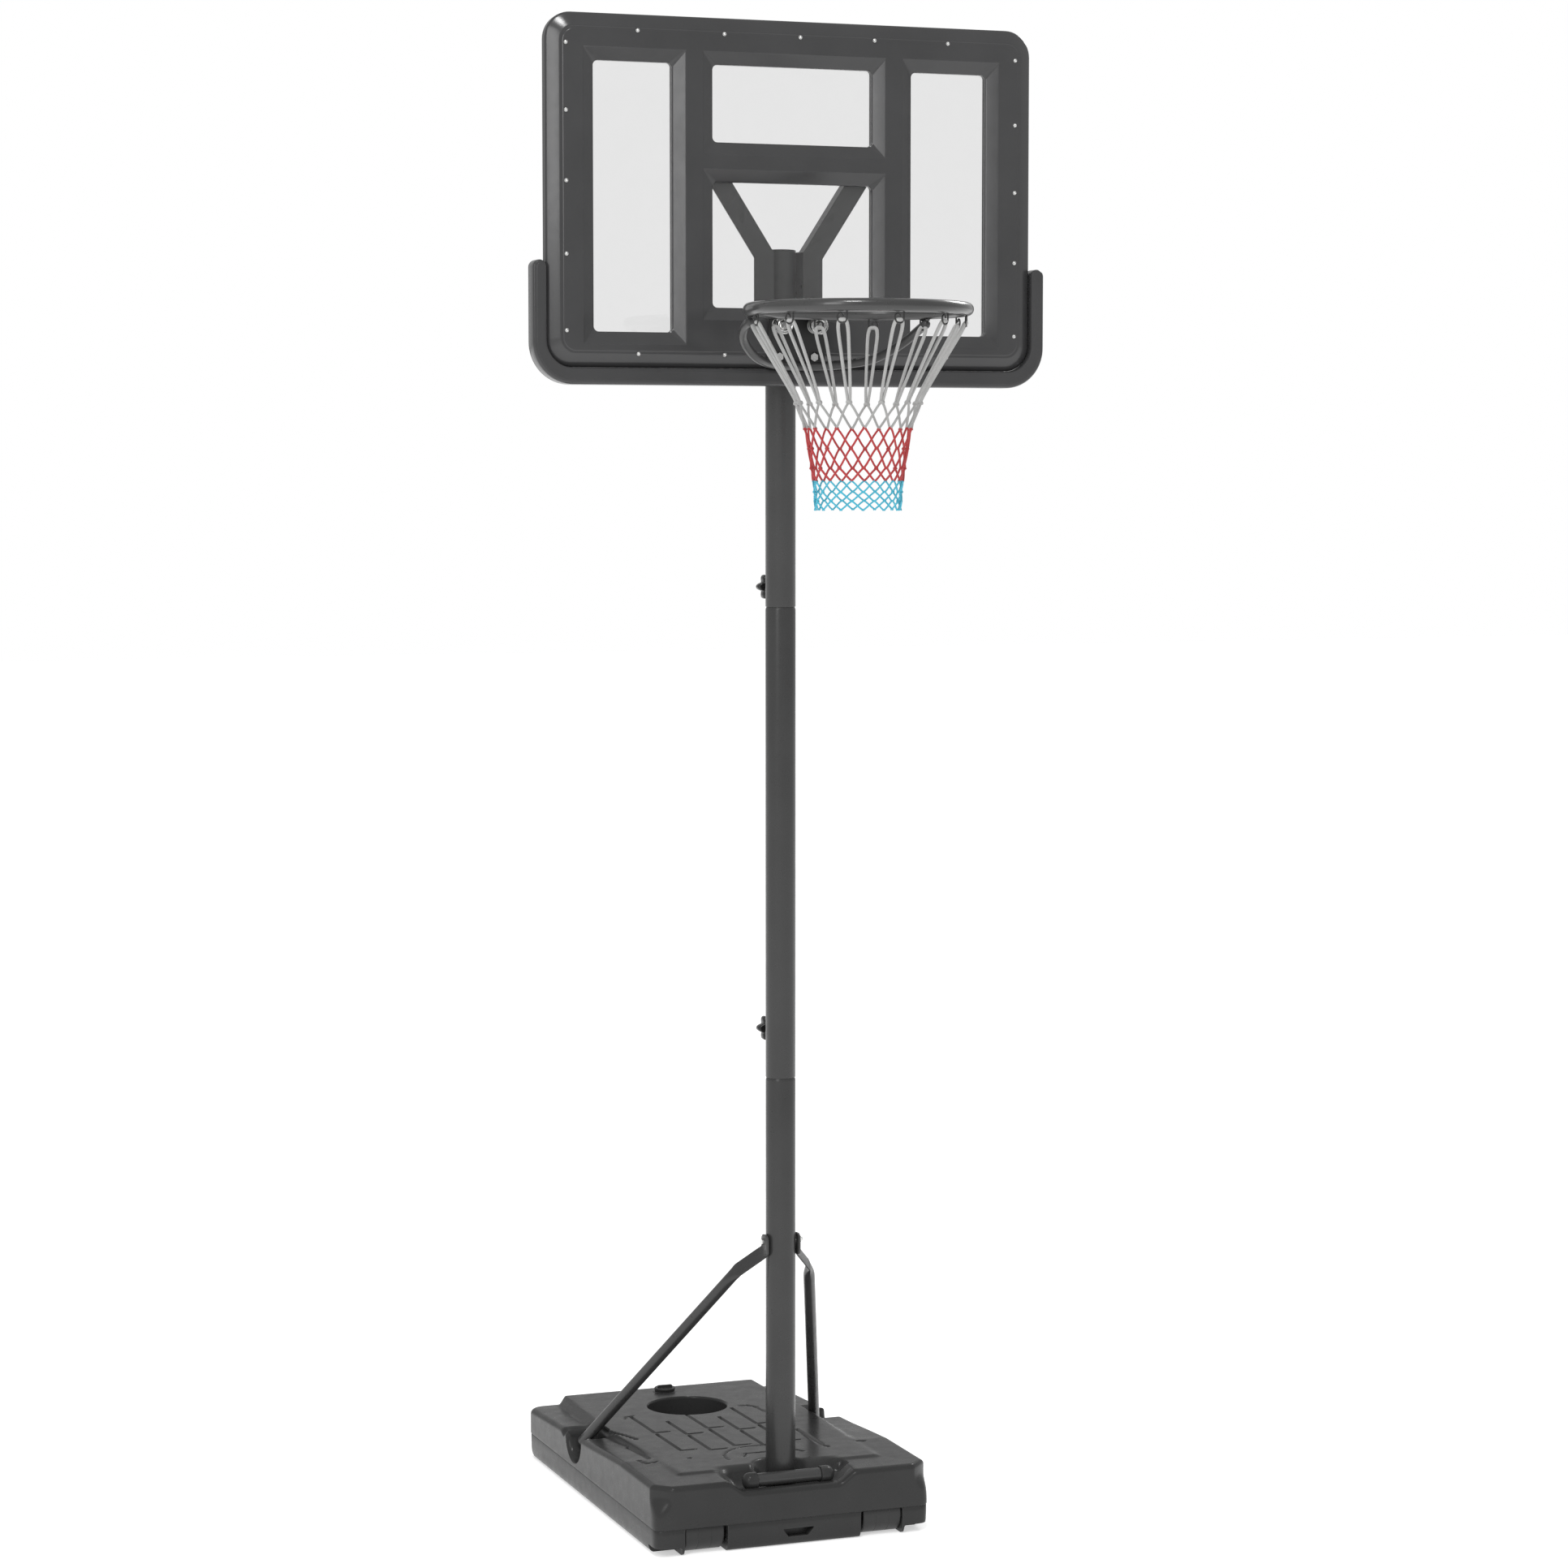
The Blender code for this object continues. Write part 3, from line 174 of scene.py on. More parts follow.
def acrylic(name):
    """Clear sheet with a faint haze and a slight waviness."""
    made, tree, shader = new_material(name)
    place = object_coordinates(tree)
    haze = noise(tree, place, 18.0, 6.0, 0.7)
    plug(tree, shader, {
        "Base Color": blend_colours(tree, haze, grey(0.785), grey(0.805)),
        "Roughness": spread(tree, haze, 0.0, 0.035, 0.45, 0.8),
        "Transmission Weight": 1.0,
        "IOR": 1.49,
        "Normal": bump(tree, noise(tree, place, 3.0, 1.0), 0.0004, 0.15),
    })
    return made


def clear_water(name):
    made, tree, shader = new_material(name)
    drift = noise(tree, object_coordinates(tree), 6.0, 2.0)
    plug(tree, shader, {
        "Base Color": blend_colours(tree, drift, (0.80, 0.90, 0.93), (0.86, 0.94, 0.96)),
        "Roughness": spread(tree, drift, 0.01, 0.04),
        "Transmission Weight": 1.0,
        "IOR": 1.333,
        "Normal": bump(tree, drift, 0.001, 0.3),
    })
    return made


def braid(name, colour, gap_shade_and_grime):
    """Braided cord: two sets of strands that cross, laid out by the cord's length and girth, with painted
    shade in the gaps between strands.
    """
    made, tree, shader = new_material(name)
    uv = tree.nodes.new("ShaderNodeTexCoord").outputs["UV"]
    strands = []
    for turn in (0.9, -0.9):
        turned = add_node(tree, "Mapping", {"Vector": uv, "Rotation": (0.0, 0.0, turn)})
        wave = {"Vector": turned.outputs["Vector"], "Scale": 0.9, "Distortion": 0.6, "Detail": 1.0}
        strands.append(add_node(tree, "TexWave", wave).outputs["Fac"])
    weave = join_values(tree, "MULTIPLY", *strands)
    fibre = noise(tree, object_coordinates(tree), 900.0, 3.0, 0.7)
    worn = noise(tree, object_coordinates(tree), 25.0, 4.0, 0.6)
    # Painted shade: the gaps between the strands take the second, darker colour
    tint = blend_colours(tree, spread(tree, weave, 0.0, 1.0, 0.0, 0.5), gap_shade_and_grime, colour)
    plug(tree, shader, {
        "Base Color": blend_colours(tree, spread(tree, worn, 0.0, 0.35, 0.5, 0.8), tint, shade(gap_shade_and_grime, 0.9)),
        "Roughness": spread(tree, fibre, 0.65, 0.9),
        "Sheen Weight": 0.3,
        "Sheen Roughness": 0.4,
        "Normal": bump(tree, fibre, 0.0001, below=bump(tree, weave, 0.0006)),
    })
    return made


WATER = clear_water("water")
STEEL = coated("powder_coat", grey(0.038), 0.30, 1100.0, 0.00004, rub=0.5, coat=0.08, specular=0.28)
FRAME_PLASTIC = coated("frame_plastic", (0.038, 0.038, 0.039), 0.20, 1500.0, 0.000012, wave=0.00015)
RIM_STEEL = coated("rim_coat", grey(0.034), 0.30, 1100.0, 0.00003, coat=0.45, specular=0.40)
TANK_PLASTIC = coated("tank_plastic", grey(0.032), 0.30, 900.0, 0.00003, rub=0.35, wave=0.0003,
                      coat=0.10, specular=0.12)
WHEEL_PLASTIC = coated("wheel_plastic", grey(0.032), 0.34, 800.0, 0.00006, rub=0.4, specular=0.22)
KNOB_PLASTIC = coated("knob_plastic", grey(0.008), 0.26, 1300.0, 0.00005, rub=0.4)
SEAL_RUBBER = coated("seal_rubber", grey(0.012), 0.75, 900.0, 0.0001)
# Painted shade: a darker copy of the powder coat for the rim bracket, the mount plate and the net hooks,
# standing for the shade under the rim
SHADE_DARKENED_STEEL = coated("mount_painted_shade", grey(0.013), 0.34, 1000.0, 0.00004, rub=0.5)
ZINC = zinc_plate("zinc_plate", (0.78, 0.78, 0.77), 0.20, 900.0)
SPRING_STEEL = zinc_plate("spring_steel", (0.50, 0.50, 0.49), 0.32, 700.0)
CLEAR = acrylic("acrylic")
# The second colour of each cord is painted shade for the gaps between strands and the tone of its worn
# patches
WHITE_CORD = braid("white_cord", (0.66, 0.66, 0.65), (0.36, 0.36, 0.355))
RED_CORD = braid("red_cord", (0.74, 0.050, 0.055), (0.46, 0.020, 0.022))
BLUE_CORD = braid("blue_cord", (0.090, 0.72, 0.92), (0.045, 0.52, 0.72))


# Meshes

def finish_piece(made, material, body, replaced=(), angle=30.0):
    """Give a piece its material, shading and body, and hide the CAD nodes it stands for."""
    made.data.materials.clear()
    made.data.materials.append(material)
    made.data.shade_smooth()
    made.data.set_sharp_from_angle(angle=math.radians(angle))
    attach(made, body)
    if replaced:
        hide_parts(*replaced)


def link_mesh(name, bm):
    bmesh.ops.recalc_face_normals(bm, faces=bm.faces)
    mesh = bpy.data.meshes.new(name)
    bm.to_mesh(mesh)
    bm.free()
    made = bpy.data.objects.new(name, mesh)
    bpy.context.scene.collection.objects.link(made)
    return made


def fillet(points, radius):
    """Round the corners of a flat closed outline."""
    made = []
    for i, point in enumerate(points):
        here = Vector(point)
        before = Vector(points[i - 1]) - here
        after = Vector(points[(i + 1) % len(points)]) - here
        half = before.angle(after) / 2
        cut_back = min(radius / math.tan(half), 0.49 * min(before.length, after.length))
        start = here + before.normalized() * cut_back
        end = here + after.normalized() * cut_back
        for t in (0, 1 / 3, 2 / 3, 1):
            made.append(tuple(start.lerp(here, t).lerp(here.lerp(end, t), t)))
    return made


def circle(count):
    """Cosine and sine at equal steps round a full turn."""
    angles = [2 * math.pi * i / count for i in range(count)]
    return [(math.cos(angle), math.sin(angle)) for angle in angles]


def arc(steps, start, end):
    """Cosine and sine at equal steps from one angle to another in degrees, with both ends."""
    angles = [math.radians(start + (end - start) * i / steps) for i in range(steps + 1)]
    return [(math.cos(angle), math.sin(angle)) for angle in angles]


def skin(bm, rings, closed=False, caps=False):
    """Put faces between rings of vertices; a ring can be a single vertex."""
    count = max(len(ring) for ring in rings)
    pairs = list(zip(rings, rings[1:]))
    if closed:
        pairs.append((rings[-1], rings[0]))
    for first, second in pairs:
        for i in range(count):
            j = (i + 1) % count
            corners = []
            for ring, index in ((first, i), (first, j), (second, j), (second, i)):
                vert = ring[index % len(ring)]
                if vert not in corners:
                    corners.append(vert)
            if len(corners) > 2:
                bm.faces.new(corners)
    if caps:
        bm.faces.new(rings[0])
        bm.faces.new(rings[-1])


def lathe(name, profile, centre=(0, 0, 0), axis="Z", steps=64, closed=False):
    """Turn (radius, height) pairs round an axis; a closed profile makes a ring."""
    places = {
        "X": lambda r, h, c, s: (h, r * c, r * s),
        "Y": lambda r, h, c, s: (r * c, h, r * s),
        "Z": lambda r, h, c, s: (r * c, r * s, h),
    }
    place = places[axis]
    bm = bmesh.new()
    rings = []
    for radius, height in profile:
        turns = circle(steps) if radius > 1e-6 else [(1, 0)]
        rings.append([bm.verts.new(Vector(centre) + Vector(place(radius, height, c, s))) for c, s in turns])
    skin(bm, rings, closed)
    return link_mesh(name, bm)


def cylinder(name, radius, start, end, centre=(0, 0, 0), axis="Z", steps=64):
    return lathe(name, [(0, start), (radius, start), (radius, end), (0, end)], centre, axis, steps)


def rod(name, radius, span, chamfer, centre, axis, steps):
    """A round bar between two heights; chamfer is how far its ends are cut across and along."""
    (low, high), (across, along) = span, chamfer
    profile = [(0, low), (radius - across, low), (radius, low + along), (radius, high - along),
               (radius - across, high), (0, high)]
    return lathe(name, profile, centre, axis, steps)


def loft(name, rings):
    """A solid through rings of points that have the same count."""
    bm = bmesh.new()
    skin(bm, [[bm.verts.new(Vector(point)) for point in ring] for ring in rings], caps=True)
    return link_mesh(name, bm)


def smooth_path(points, steps):
    """Points along a Catmull-Rom curve through the given ones."""
    points = [Vector(p) for p in points]
    ends = [points[0] * 2 - points[1]] + points + [points[-1] * 2 - points[-2]]
    path = []
    for a, b, c, d in zip(ends, ends[1:], ends[2:], ends[3:]):
        for i in range(steps):
            t = i / steps
            path.append(0.5 * (
                2 * b + (c - a) * t + (2 * a - 5 * b + 4 * c - d) * t * t + (3 * b - a - 3 * c + d) * t ** 3
            ))
    path.append(points[-1])
    return path


TUBE_END = ((0.95, 0.35), (0.65, 0.78))  # how far past the end, and how wide, in shares of the radius
BRAID_LENGTH, BRAID_GIRTH = 0.0035, 6.0  # cord for one unit of the pattern, and units round the cord


def add_tube(bm, path, radius, sides):
    """Add a tube along a path, with lengthwise and girth coordinates; radius is a number or a list."""
    layer = bm.loops.layers.uv.verify()
    radii = list(radius) if isinstance(radius, (list, tuple)) else [radius] * len(path)
    path = [Vector(p) for p in path]
    first, last = (path[0] - path[1]).normalized(), (path[-1] - path[-2]).normalized()
    stations = [(path[0] + first * radii[0] * past, radii[0] * share) for past, share in TUBE_END]
    stations += zip(path, radii)
    stations += [(path[-1] + last * radii[-1] * past, radii[-1] * share) for past, share in TUBE_END[::-1]]
    centres = [s[0] for s in stations]
    tangents = []
    for i in range(len(centres)):
        ahead = centres[min(i + 1, len(centres) - 1)] - centres[max(i - 1, 0)]
        tangents.append(ahead.normalized())
    across = tangents[0].orthogonal().normalized()
    rings = []
    travelled = [0.0]
    for i, (centre, reach) in enumerate(stations):
        if i:
            travelled.append(travelled[-1] + (centre - centres[i - 1]).length)
        across = (across - tangents[i] * across.dot(tangents[i])).normalized()
        other = tangents[i].cross(across)
        rings.append([bm.verts.new(centre + (across * c + other * s) * reach) for c, s in circle(sides)])
    for i, (ring, following) in enumerate(zip(rings, rings[1:])):
        for k in range(sides):
            j = (k + 1) % sides
            face = bm.faces.new((ring[k], ring[j], following[j], following[k]))
            places = ((i, k), (i, k + 1), (i + 1, k + 1), (i + 1, k))
            for loop, (station, step) in zip(face.loops, places):
                loop[layer].uv = (travelled[station] / BRAID_LENGTH, BRAID_GIRTH * step / sides)
    bm.faces.new(rings[0])
    bm.faces.new(rings[-1])


def tube(name, path, radius, sides):
    bm = bmesh.new()
    add_tube(bm, path, radius, sides)
    return link_mesh(name, bm)


def soften(made, width, angle):
    step = made.modifiers.new("edges", "BEVEL")
    step.width = width
    step.segments = 2
    step.limit_method = "ANGLE"
    step.angle_limit = math.radians(angle)


def settle(made):
    """Turn a piece's modifiers into its own mesh."""
    depsgraph = bpy.context.evaluated_depsgraph_get()
    depsgraph.update()
    mesh = bpy.data.meshes.new_from_object(made.evaluated_get(depsgraph))
    made.modifiers.clear()
    made.data = mesh


def combine(made, tools, operation="DIFFERENCE"):
    """Cut the tools from a piece or join them to it, and remove them."""
    for tool in tools:
        step = made.modifiers.new("combine", "BOOLEAN")
        step.operation = operation
        step.solver = "MANIFOLD"
        step.object = tool
    settle(made)
    for tool in tools:
        bpy.data.objects.remove(tool, do_unlink=True)


def outline_loft(name, outlines, axis="Y"):
    """A solid through flat outlines, as (level along the axis, points in the two other directions)."""
    places = {
        "X": lambda level, a, b: (level, a, b),
        "Y": lambda level, a, b: (a, level, b),
        "Z": lambda level, a, b: (a, b, level),
    }
    place = places[axis]
    return loft(name, [[place(level, a, b) for a, b in points] for level, points in outlines])


def rounded_rectangle(x_low, x_high, z_low, z_high, radius, steps=8):
    corners = [
        (x_high - radius, z_low + radius, -90), (x_high - radius, z_high - radius, 0),
        (x_low + radius, z_high - radius, 90), (x_low + radius, z_low + radius, 180),
    ]
    points = []
    for x, z, start in corners:
        points += [(x + radius * c, z + radius * s) for c, s in arc(steps, start, start + 90)]
    return points


def drill(name, start, end, radius):
    """A cutter along X or Y between two points."""
    axis, index = ("Y", 1) if abs(end[1] - start[1]) > abs(end[0] - start[0]) else ("X", 0)
    centre = Vector(start)
    centre[index] = 0
    return cylinder(name, radius, start[index], end[index], centre, axis, 24)


def span(side, near, far):
    """Distances from the middle, as low and high X on one side."""
    return sorted((side * near, side * far))


def dress(node, material, width=0.0):
    """Keep a CAD node and give it a better material, with softened edges where asked."""
    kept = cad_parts[node]
    kept.data.materials.clear()
    kept.data.materials.append(material)
    if width:
        soften(kept, width, 35.0)


def middle(node):
    low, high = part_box(node)
    return (Vector(low) + Vector(high)) / 2


# Base tank

HALF_WIDTH, FRONT, REAR, CORNER = 0.312, -0.088, 0.845, 0.040
POCKET_Y, POCKET_X = (0.436, 0.534), 0.2385
PARTING_Z = 0.058
WELL_Y, WELL_R = 0.607, 0.0900
FILLER_Y = 0.765
FOOT_Y, FOOT_Z = -0.045, 0.136
WHEEL_Y, WHEEL_Z, ARCH_R = -0.043, 0.0425, 0.0442
EDGE_DROP = 0.0125
TOP_POWER, FLOOR_POWER = 1.12, 3.4  # how square the front corners are, at the top and near the floor
FOOT_PIN_HALF = 0.0922


def ease(low, high, value):
    t = np.clip((value - low) / (high - low), 0.0, 1.0)
    return t * t * (3 - 2 * t)


def brick_grooves():
    """Paths of the brick-like grooves on the tank's top, as (points, half width, depth)."""
    short_side, half_width, depth = 0.034, 0.0033, 0.0065
    paths = []
    for i, x in enumerate((-0.157, -0.095, -0.033, 0.028, 0.084)):
        rows = ((0.198, 0.360), (0.376, 0.540)) if i % 2 == 0 else ((0.180, 0.322), (0.338, 0.468))
        for corner, end in rows:
            paths.append(([(x, end), (x, corner), (x + short_side, corner)], half_width, depth))
    return paths


def small_grooves():
    """The other grooves on the tank's top, in the same form."""
    return [
        ([(0.090 * c, 0.090 + 0.090 * s) for c, s in arc(14, 188, 48)], 0.0024, 0.0030),
        ([(-0.048, 0.094), (-0.036, 0.120), (0.008, 0.117)], 0.0026, 0.0035),
        ([(0.050, 0.113), (0.078, 0.110), (0.087, 0.093)], 0.0026, 0.0035),
        ([(0.147, 0.290), (0.147, 0.135), (0.153, 0.109)], 0.0026, 0.0038),
        ([(0.108, 0.554), (0.126, 0.552), (0.138, 0.534), (0.143, 0.478)], 0.0028, 0.0035),
        ([(-0.176, 0.526), (-0.168, 0.545), (-0.150, 0.550)], 0.0026, 0.0035),
        ([(-0.246, 0.432), (-0.228, 0.383), (-0.213, 0.332)], 0.0034, 0.0045),
        ([(-0.247, 0.297), (-0.2445, 0.232), (-0.2445, 0.158)], 0.0032, 0.0038),
        ([(-0.270, 0.152), (-0.263, 0.119), (-0.240, 0.127)], 0.0030, 0.0035),
        ([(0.229, 0.1415), (0.248, 0.137)], 0.0034, 0.0045),
    ]


def path_distance(x, y, points):
    best = np.full(x.shape, 1.0)
    for (ax, ay), (bx, by) in zip(points, points[1:]):
        dx, dy = bx - ax, by - ay
        t = np.clip(((x - ax) * dx + (y - ay) * dy) / (dx * dx + dy * dy), 0, 1)
        best = np.minimum(best, np.hypot(x - ax - t * dx, y - ay - t * dy))
    return best


def tank_height(x, y):
    """Height of the tank's top, without its grooves."""
    shoulder = np.interp(y, [-0.088, 0.15, 0.25, 0.35, 0.45, 0.55, 0.845],
                         [0.1490, 0.1490, 0.1430, 0.1360, 0.1310, 0.1270, 0.1120])
    panel_front, panel_fall, valley_floor, seat_floor, land_rise = 0.153, 0.014, 0.118, 0.1175, 0.0065
    panel = panel_front - panel_fall * np.clip(y / REAR, 0, 1)
    half = np.interp(y, [0.0, 0.2, 0.35, 0.45, 0.60, 0.80], [0.232, 0.236, 0.248, 0.252, 0.246, 0.240])
    inside = ease(-0.006, 0.012, half - np.abs(x)) * ease(-0.004, 0.010, y) * ease(0.010, 0.042, REAR - y)
    height = shoulder + (panel - shoulder) * inside

    # Valley and round seat for the pole's foot, and the land in front of the foot's tube
    low_x = 1 - ease(0.104, 0.150, np.abs(x + 0.004))
    low_y = 1 - ease(-0.030, 0.036, y)
    height = height + (valley_floor - height) * low_x * low_y
    round_foot = ease(0.000, 0.030, 0.066 - np.hypot(x, y * 0.9))
    height = height - (height - seat_floor) * round_foot
    height = height + land_rise * ease(0.0, 0.006, FOOT_Y - 0.012 - y) * low_x

    # Dents behind the strut pockets, a small cup and a small mark
    for side, _ in LEFT_RIGHT:
        dent = np.hypot((x - side * 0.283) / 0.036, (y - 0.556) / 0.017)
        height = height - 0.010 * ease(0.0, 1.0, 1.25 - dent)
    cup = np.hypot(x - 0.134, (y + 0.016) * 0.9)
    height = height - 0.009 * ease(0.0, 0.006, 0.0145 - cup)
    mark = np.hypot((x + 0.162) / 1.5, y - 0.125)
    return height - 0.0035 * ease(0.0, 0.002, 0.0042 - mark)


def tank_surface(x, y):
    height = tank_height(x, y)
    for points, half, depth in brick_grooves() + small_grooves():
        away = path_distance(x, y, points)
        height = height - depth * (1 - ease(half * 0.45, half * 1.35, away))
    return height


def merge_lines(wanted, details):
    """Even grid lines with detail lines between them; of two that are too close, the detail stays."""
    closest = 0.0011
    kept = []
    for value in sorted(set(details)):
        if not kept or value - kept[-1] >= closest:
            kept.append(value)
    for value in wanted:
        if min(abs(value - other) for other in kept) > closest * 1.2:
            kept.append(value)
    return sorted(kept)


def tank_lines():
    """Grid lines that are dense where the tank's top has grooves and edges."""
    xs, ys = [-HALF_WIDTH, HALF_WIDTH], [FRONT, REAR]
    for points, half, _ in brick_grooves():
        for offset in (-1.5, -0.8, 0.0, 0.8, 1.5):
            xs.append(round(points[1][0] + offset * half, 5))
            ys.append(round(points[1][1] + offset * half, 5))
    steps = 128
    even_x = [-HALF_WIDTH + CORNER + (2 * HALF_WIDTH - 2 * CORNER) * i / steps for i in range(steps + 1)]
    fine_step, coarse_step = 0.0038, 0.0065
    even_y = [FRONT + CORNER + fine_step * i for i in range(160)]
    coarse_y = [even_y[-1] + coarse_step * i for i in range(1, 40)]
    even_y += [y for y in coarse_y if y < REAR - CORNER]
    front_y = [FRONT + CORNER * i / 9 for i in range(9)]
    rear_y = [REAR - CORNER * i / 7 for i in range(8)]
    side_x = [HALF_WIDTH - CORNER * i / 8 for i in range(9)]
    xs = merge_lines(even_x + side_x + [-v for v in side_x], xs)
    ys = merge_lines(even_y + front_y + rear_y, ys)
    return np.array(xs), np.array(ys)


def tank_plan(x, y, inset, front_power=TOP_POWER):
    """Move a point of the square-cornered plan to the shaped one, drawn in by inset.

    A corner is the curve u^p + v^p = 1: p is 1 for a straight cut, 2 for an arc and 4 for a tight curve.
    """
    centre = (FRONT + REAR) / 2
    half_length = (REAR - FRONT) / 2
    u = np.clip((np.abs(x) - (HALF_WIDTH - CORNER)) / CORNER, 0, None)
    v = np.clip((np.abs(y - centre) - (half_length - CORNER)) / CORNER, 0, None)
    power = np.where(y < centre, front_power, 2.0)
    size = (u ** power + v ** power) ** (1 / power)
    factor = np.where((u > 0) & (v > 0), np.maximum(u, v) / np.maximum(size, 1e-9), 1.0)
    reach = CORNER - inset
    new_x = np.where(u > 0, np.sign(x) * (HALF_WIDTH - CORNER + u * factor * reach), x)
    new_y = np.where(v > 0, centre + np.sign(y - centre) * (half_length - CORNER + v * factor * reach), y)
    return new_x, new_y


def tank_body():
    xs, ys = tank_lines()
    grid_x, grid_y = np.meshgrid(xs, ys)
    px, py = tank_plan(grid_x, grid_y, EDGE_DROP)
    pz = tank_surface(px, py)
    across, along = len(xs), len(ys)
    points = list(zip(px.ravel().tolist(), py.ravel().tolist(), pz.ravel().tolist()))
    faces = []
    for j in range(along - 1):
        row = j * across
        faces += [(row + i, row + i + 1, row + across + i + 1, row + across + i) for i in range(across - 1)]
    border = [(0, i) for i in range(across - 1)]
    border += [(j, across - 1) for j in range(along - 1)]
    border += [(along - 1, i) for i in range(across - 1, 0, -1)]
    border += [(j, 0) for j in range(along - 1, 0, -1)]
    bx = np.array([xs[i] for _, i in border])
    by = np.array([ys[j] for j, _ in border])
    previous = [j * across + i for j, i in border]

    # Rings of the rounded edge, the wall and the foot, as (inset, heights, corner power)
    top = tank_height(*tank_plan(bx, by, EDGE_DROP))
    rings = [(EDGE_DROP * (1 - s), top - EDGE_DROP * (1 - c), TOP_POWER) for c, s in arc(8, 0, 90)[1:-1]]
    walls = [
        (1.00, TOP_POWER), (0.90, TOP_POWER), (0.84, 1.14), (0.78, 1.22), (0.72, 1.36), (0.66, 1.56),
        (0.60, 1.82), (0.54, 2.10), (0.47, 2.45), (0.39, 2.80), (0.30, 3.10), (0.20, 3.30),
        (0.10, FLOOR_POWER), (0.03, FLOOR_POWER),
    ]
    for share, power in walls:
        rings.append((0.0003, PARTING_Z + (top - EDGE_DROP - PARTING_Z) * share, power))
    for inset, z in ((0.0006, 0.0582), (0.0020, 0.0574), (0.0022, 0.0562), (0.0014, 0.0550), (0.0014, 0.040),
                     (0.0020, 0.024), (0.0032, 0.0140), (0.0048, 0.0085), (0.0072, 0.0042), (0.0102, 0.0014),
                     (0.0140, 0.0000)):
        rings.append((inset, np.full(bx.shape, z), FLOOR_POWER))
    for inset, z, power in rings:
        rx, ry = tank_plan(bx, by, inset, power)
        start = len(points)
        points += list(zip(rx.tolist(), ry.tolist(), z.tolist()))
        current = list(range(start, start + len(border)))
        for k in range(len(border)):
            n = (k + 1) % len(border)
            faces.append((previous[k], current[k], current[n], previous[n]))
        previous = current
    faces.append(tuple(previous))
    mesh = bpy.data.meshes.new("tank_faces")
    mesh.from_pydata(points, [], faces)
    bm = bmesh.new()
    bm.from_mesh(mesh)
    return link_mesh("base_shell", bm)


def rounded_block(name, low, high, radius, axis, steps=5):
    """A block whose edges along one axis are round."""
    a, b, c = {"Y": (0, 2, 1), "Z": (0, 1, 2)}[axis]
    outline = rounded_rectangle(low[a], high[a], low[b], high[b], radius, steps)
    return outline_loft(name, [(low[c], outline), (high[c], outline)], axis)


def pocket_cutters(side, tag):
    """The strut's pocket: a round-bottomed scoop with a softened lip."""
    half = (POCKET_Y[1] - POCKET_Y[0]) / 2
    centre_y = (POCKET_Y[0] + POCKET_Y[1]) / 2
    scoop = []
    for x, grow in ((POCKET_X, -0.008), (0.2405, -0.004), (0.2440, -0.001), (0.2490, 0.0), (0.298, 0.0),
                    (0.303, 0.0008), (0.307, 0.0028), (0.310, 0.0055), (0.313, 0.0100), (0.330, 0.0180)):
        reach = half + grow
        outline = [(centre_y + reach * c, 0.1220 + (0.0520 + grow * 0.5) * s) for c, s in arc(32, 180, 360)]
        outline += [(centre_y + reach, 0.200), (centre_y - reach, 0.200)]
        scoop.append((side * x, outline))
    lip = []
    for z, grow in ((0.114, 0.0), (0.1190, 0.0006), (0.1230, 0.0022), (0.1262, 0.0050), (0.1290, 0.0095),
                    (0.1400, 0.0180)):
        low_x, high_x = span(side, POCKET_X - grow, 0.36)
        outline = rounded_rectangle(low_x, high_x, POCKET_Y[0] - grow, POCKET_Y[1] + grow, 0.010 + grow)
        lip.append((z, outline))
    return [outline_loft(f"pocket_scoop_{tag}", scoop, "X"), outline_loft(f"pocket_lip_{tag}", lip, "Z")]


def side_cutters(side, tag):
    """One side's wheel arch, strut pocket, cut front corner and hole for the foot's pin."""
    low_x, high_x = span(side, 0.1512, 0.2468)
    arch = [(WHEEL_Y + ARCH_R * c, WHEEL_Z + ARCH_R * s) for c, s in arc(32, 0, 180)]
    arch += [(WHEEL_Y - ARCH_R, -0.02), (WHEEL_Y + ARCH_R, -0.02)]
    cutters = [
        outline_loft(f"arch_cutter_{tag}", [(low_x, arch), (high_x, arch)], "X"),
        rounded_block(f"arch_mouth_{tag}", (low_x + 0.0002, -0.12, -0.021),
                      (high_x - 0.0002, WHEEL_Y - 0.012, 0.0568), 0.003, "Y"),
    ]
    cutters += pocket_cutters(side, tag)
    low_x, high_x = span(side, 0.2520, 0.34)
    cutters.append(rounded_block(f"corner_cutter_{tag}", (low_x, -0.14, -0.03), (high_x, -0.030, 0.0175),
                                 0.006, "Y"))
    cutters.append(cylinder(f"lug_pin_cutter_{tag}", 0.0063, side * 0.060, side * 0.0925,
                            (0, FOOT_Y, FOOT_Z), "X", 24))
    return cutters


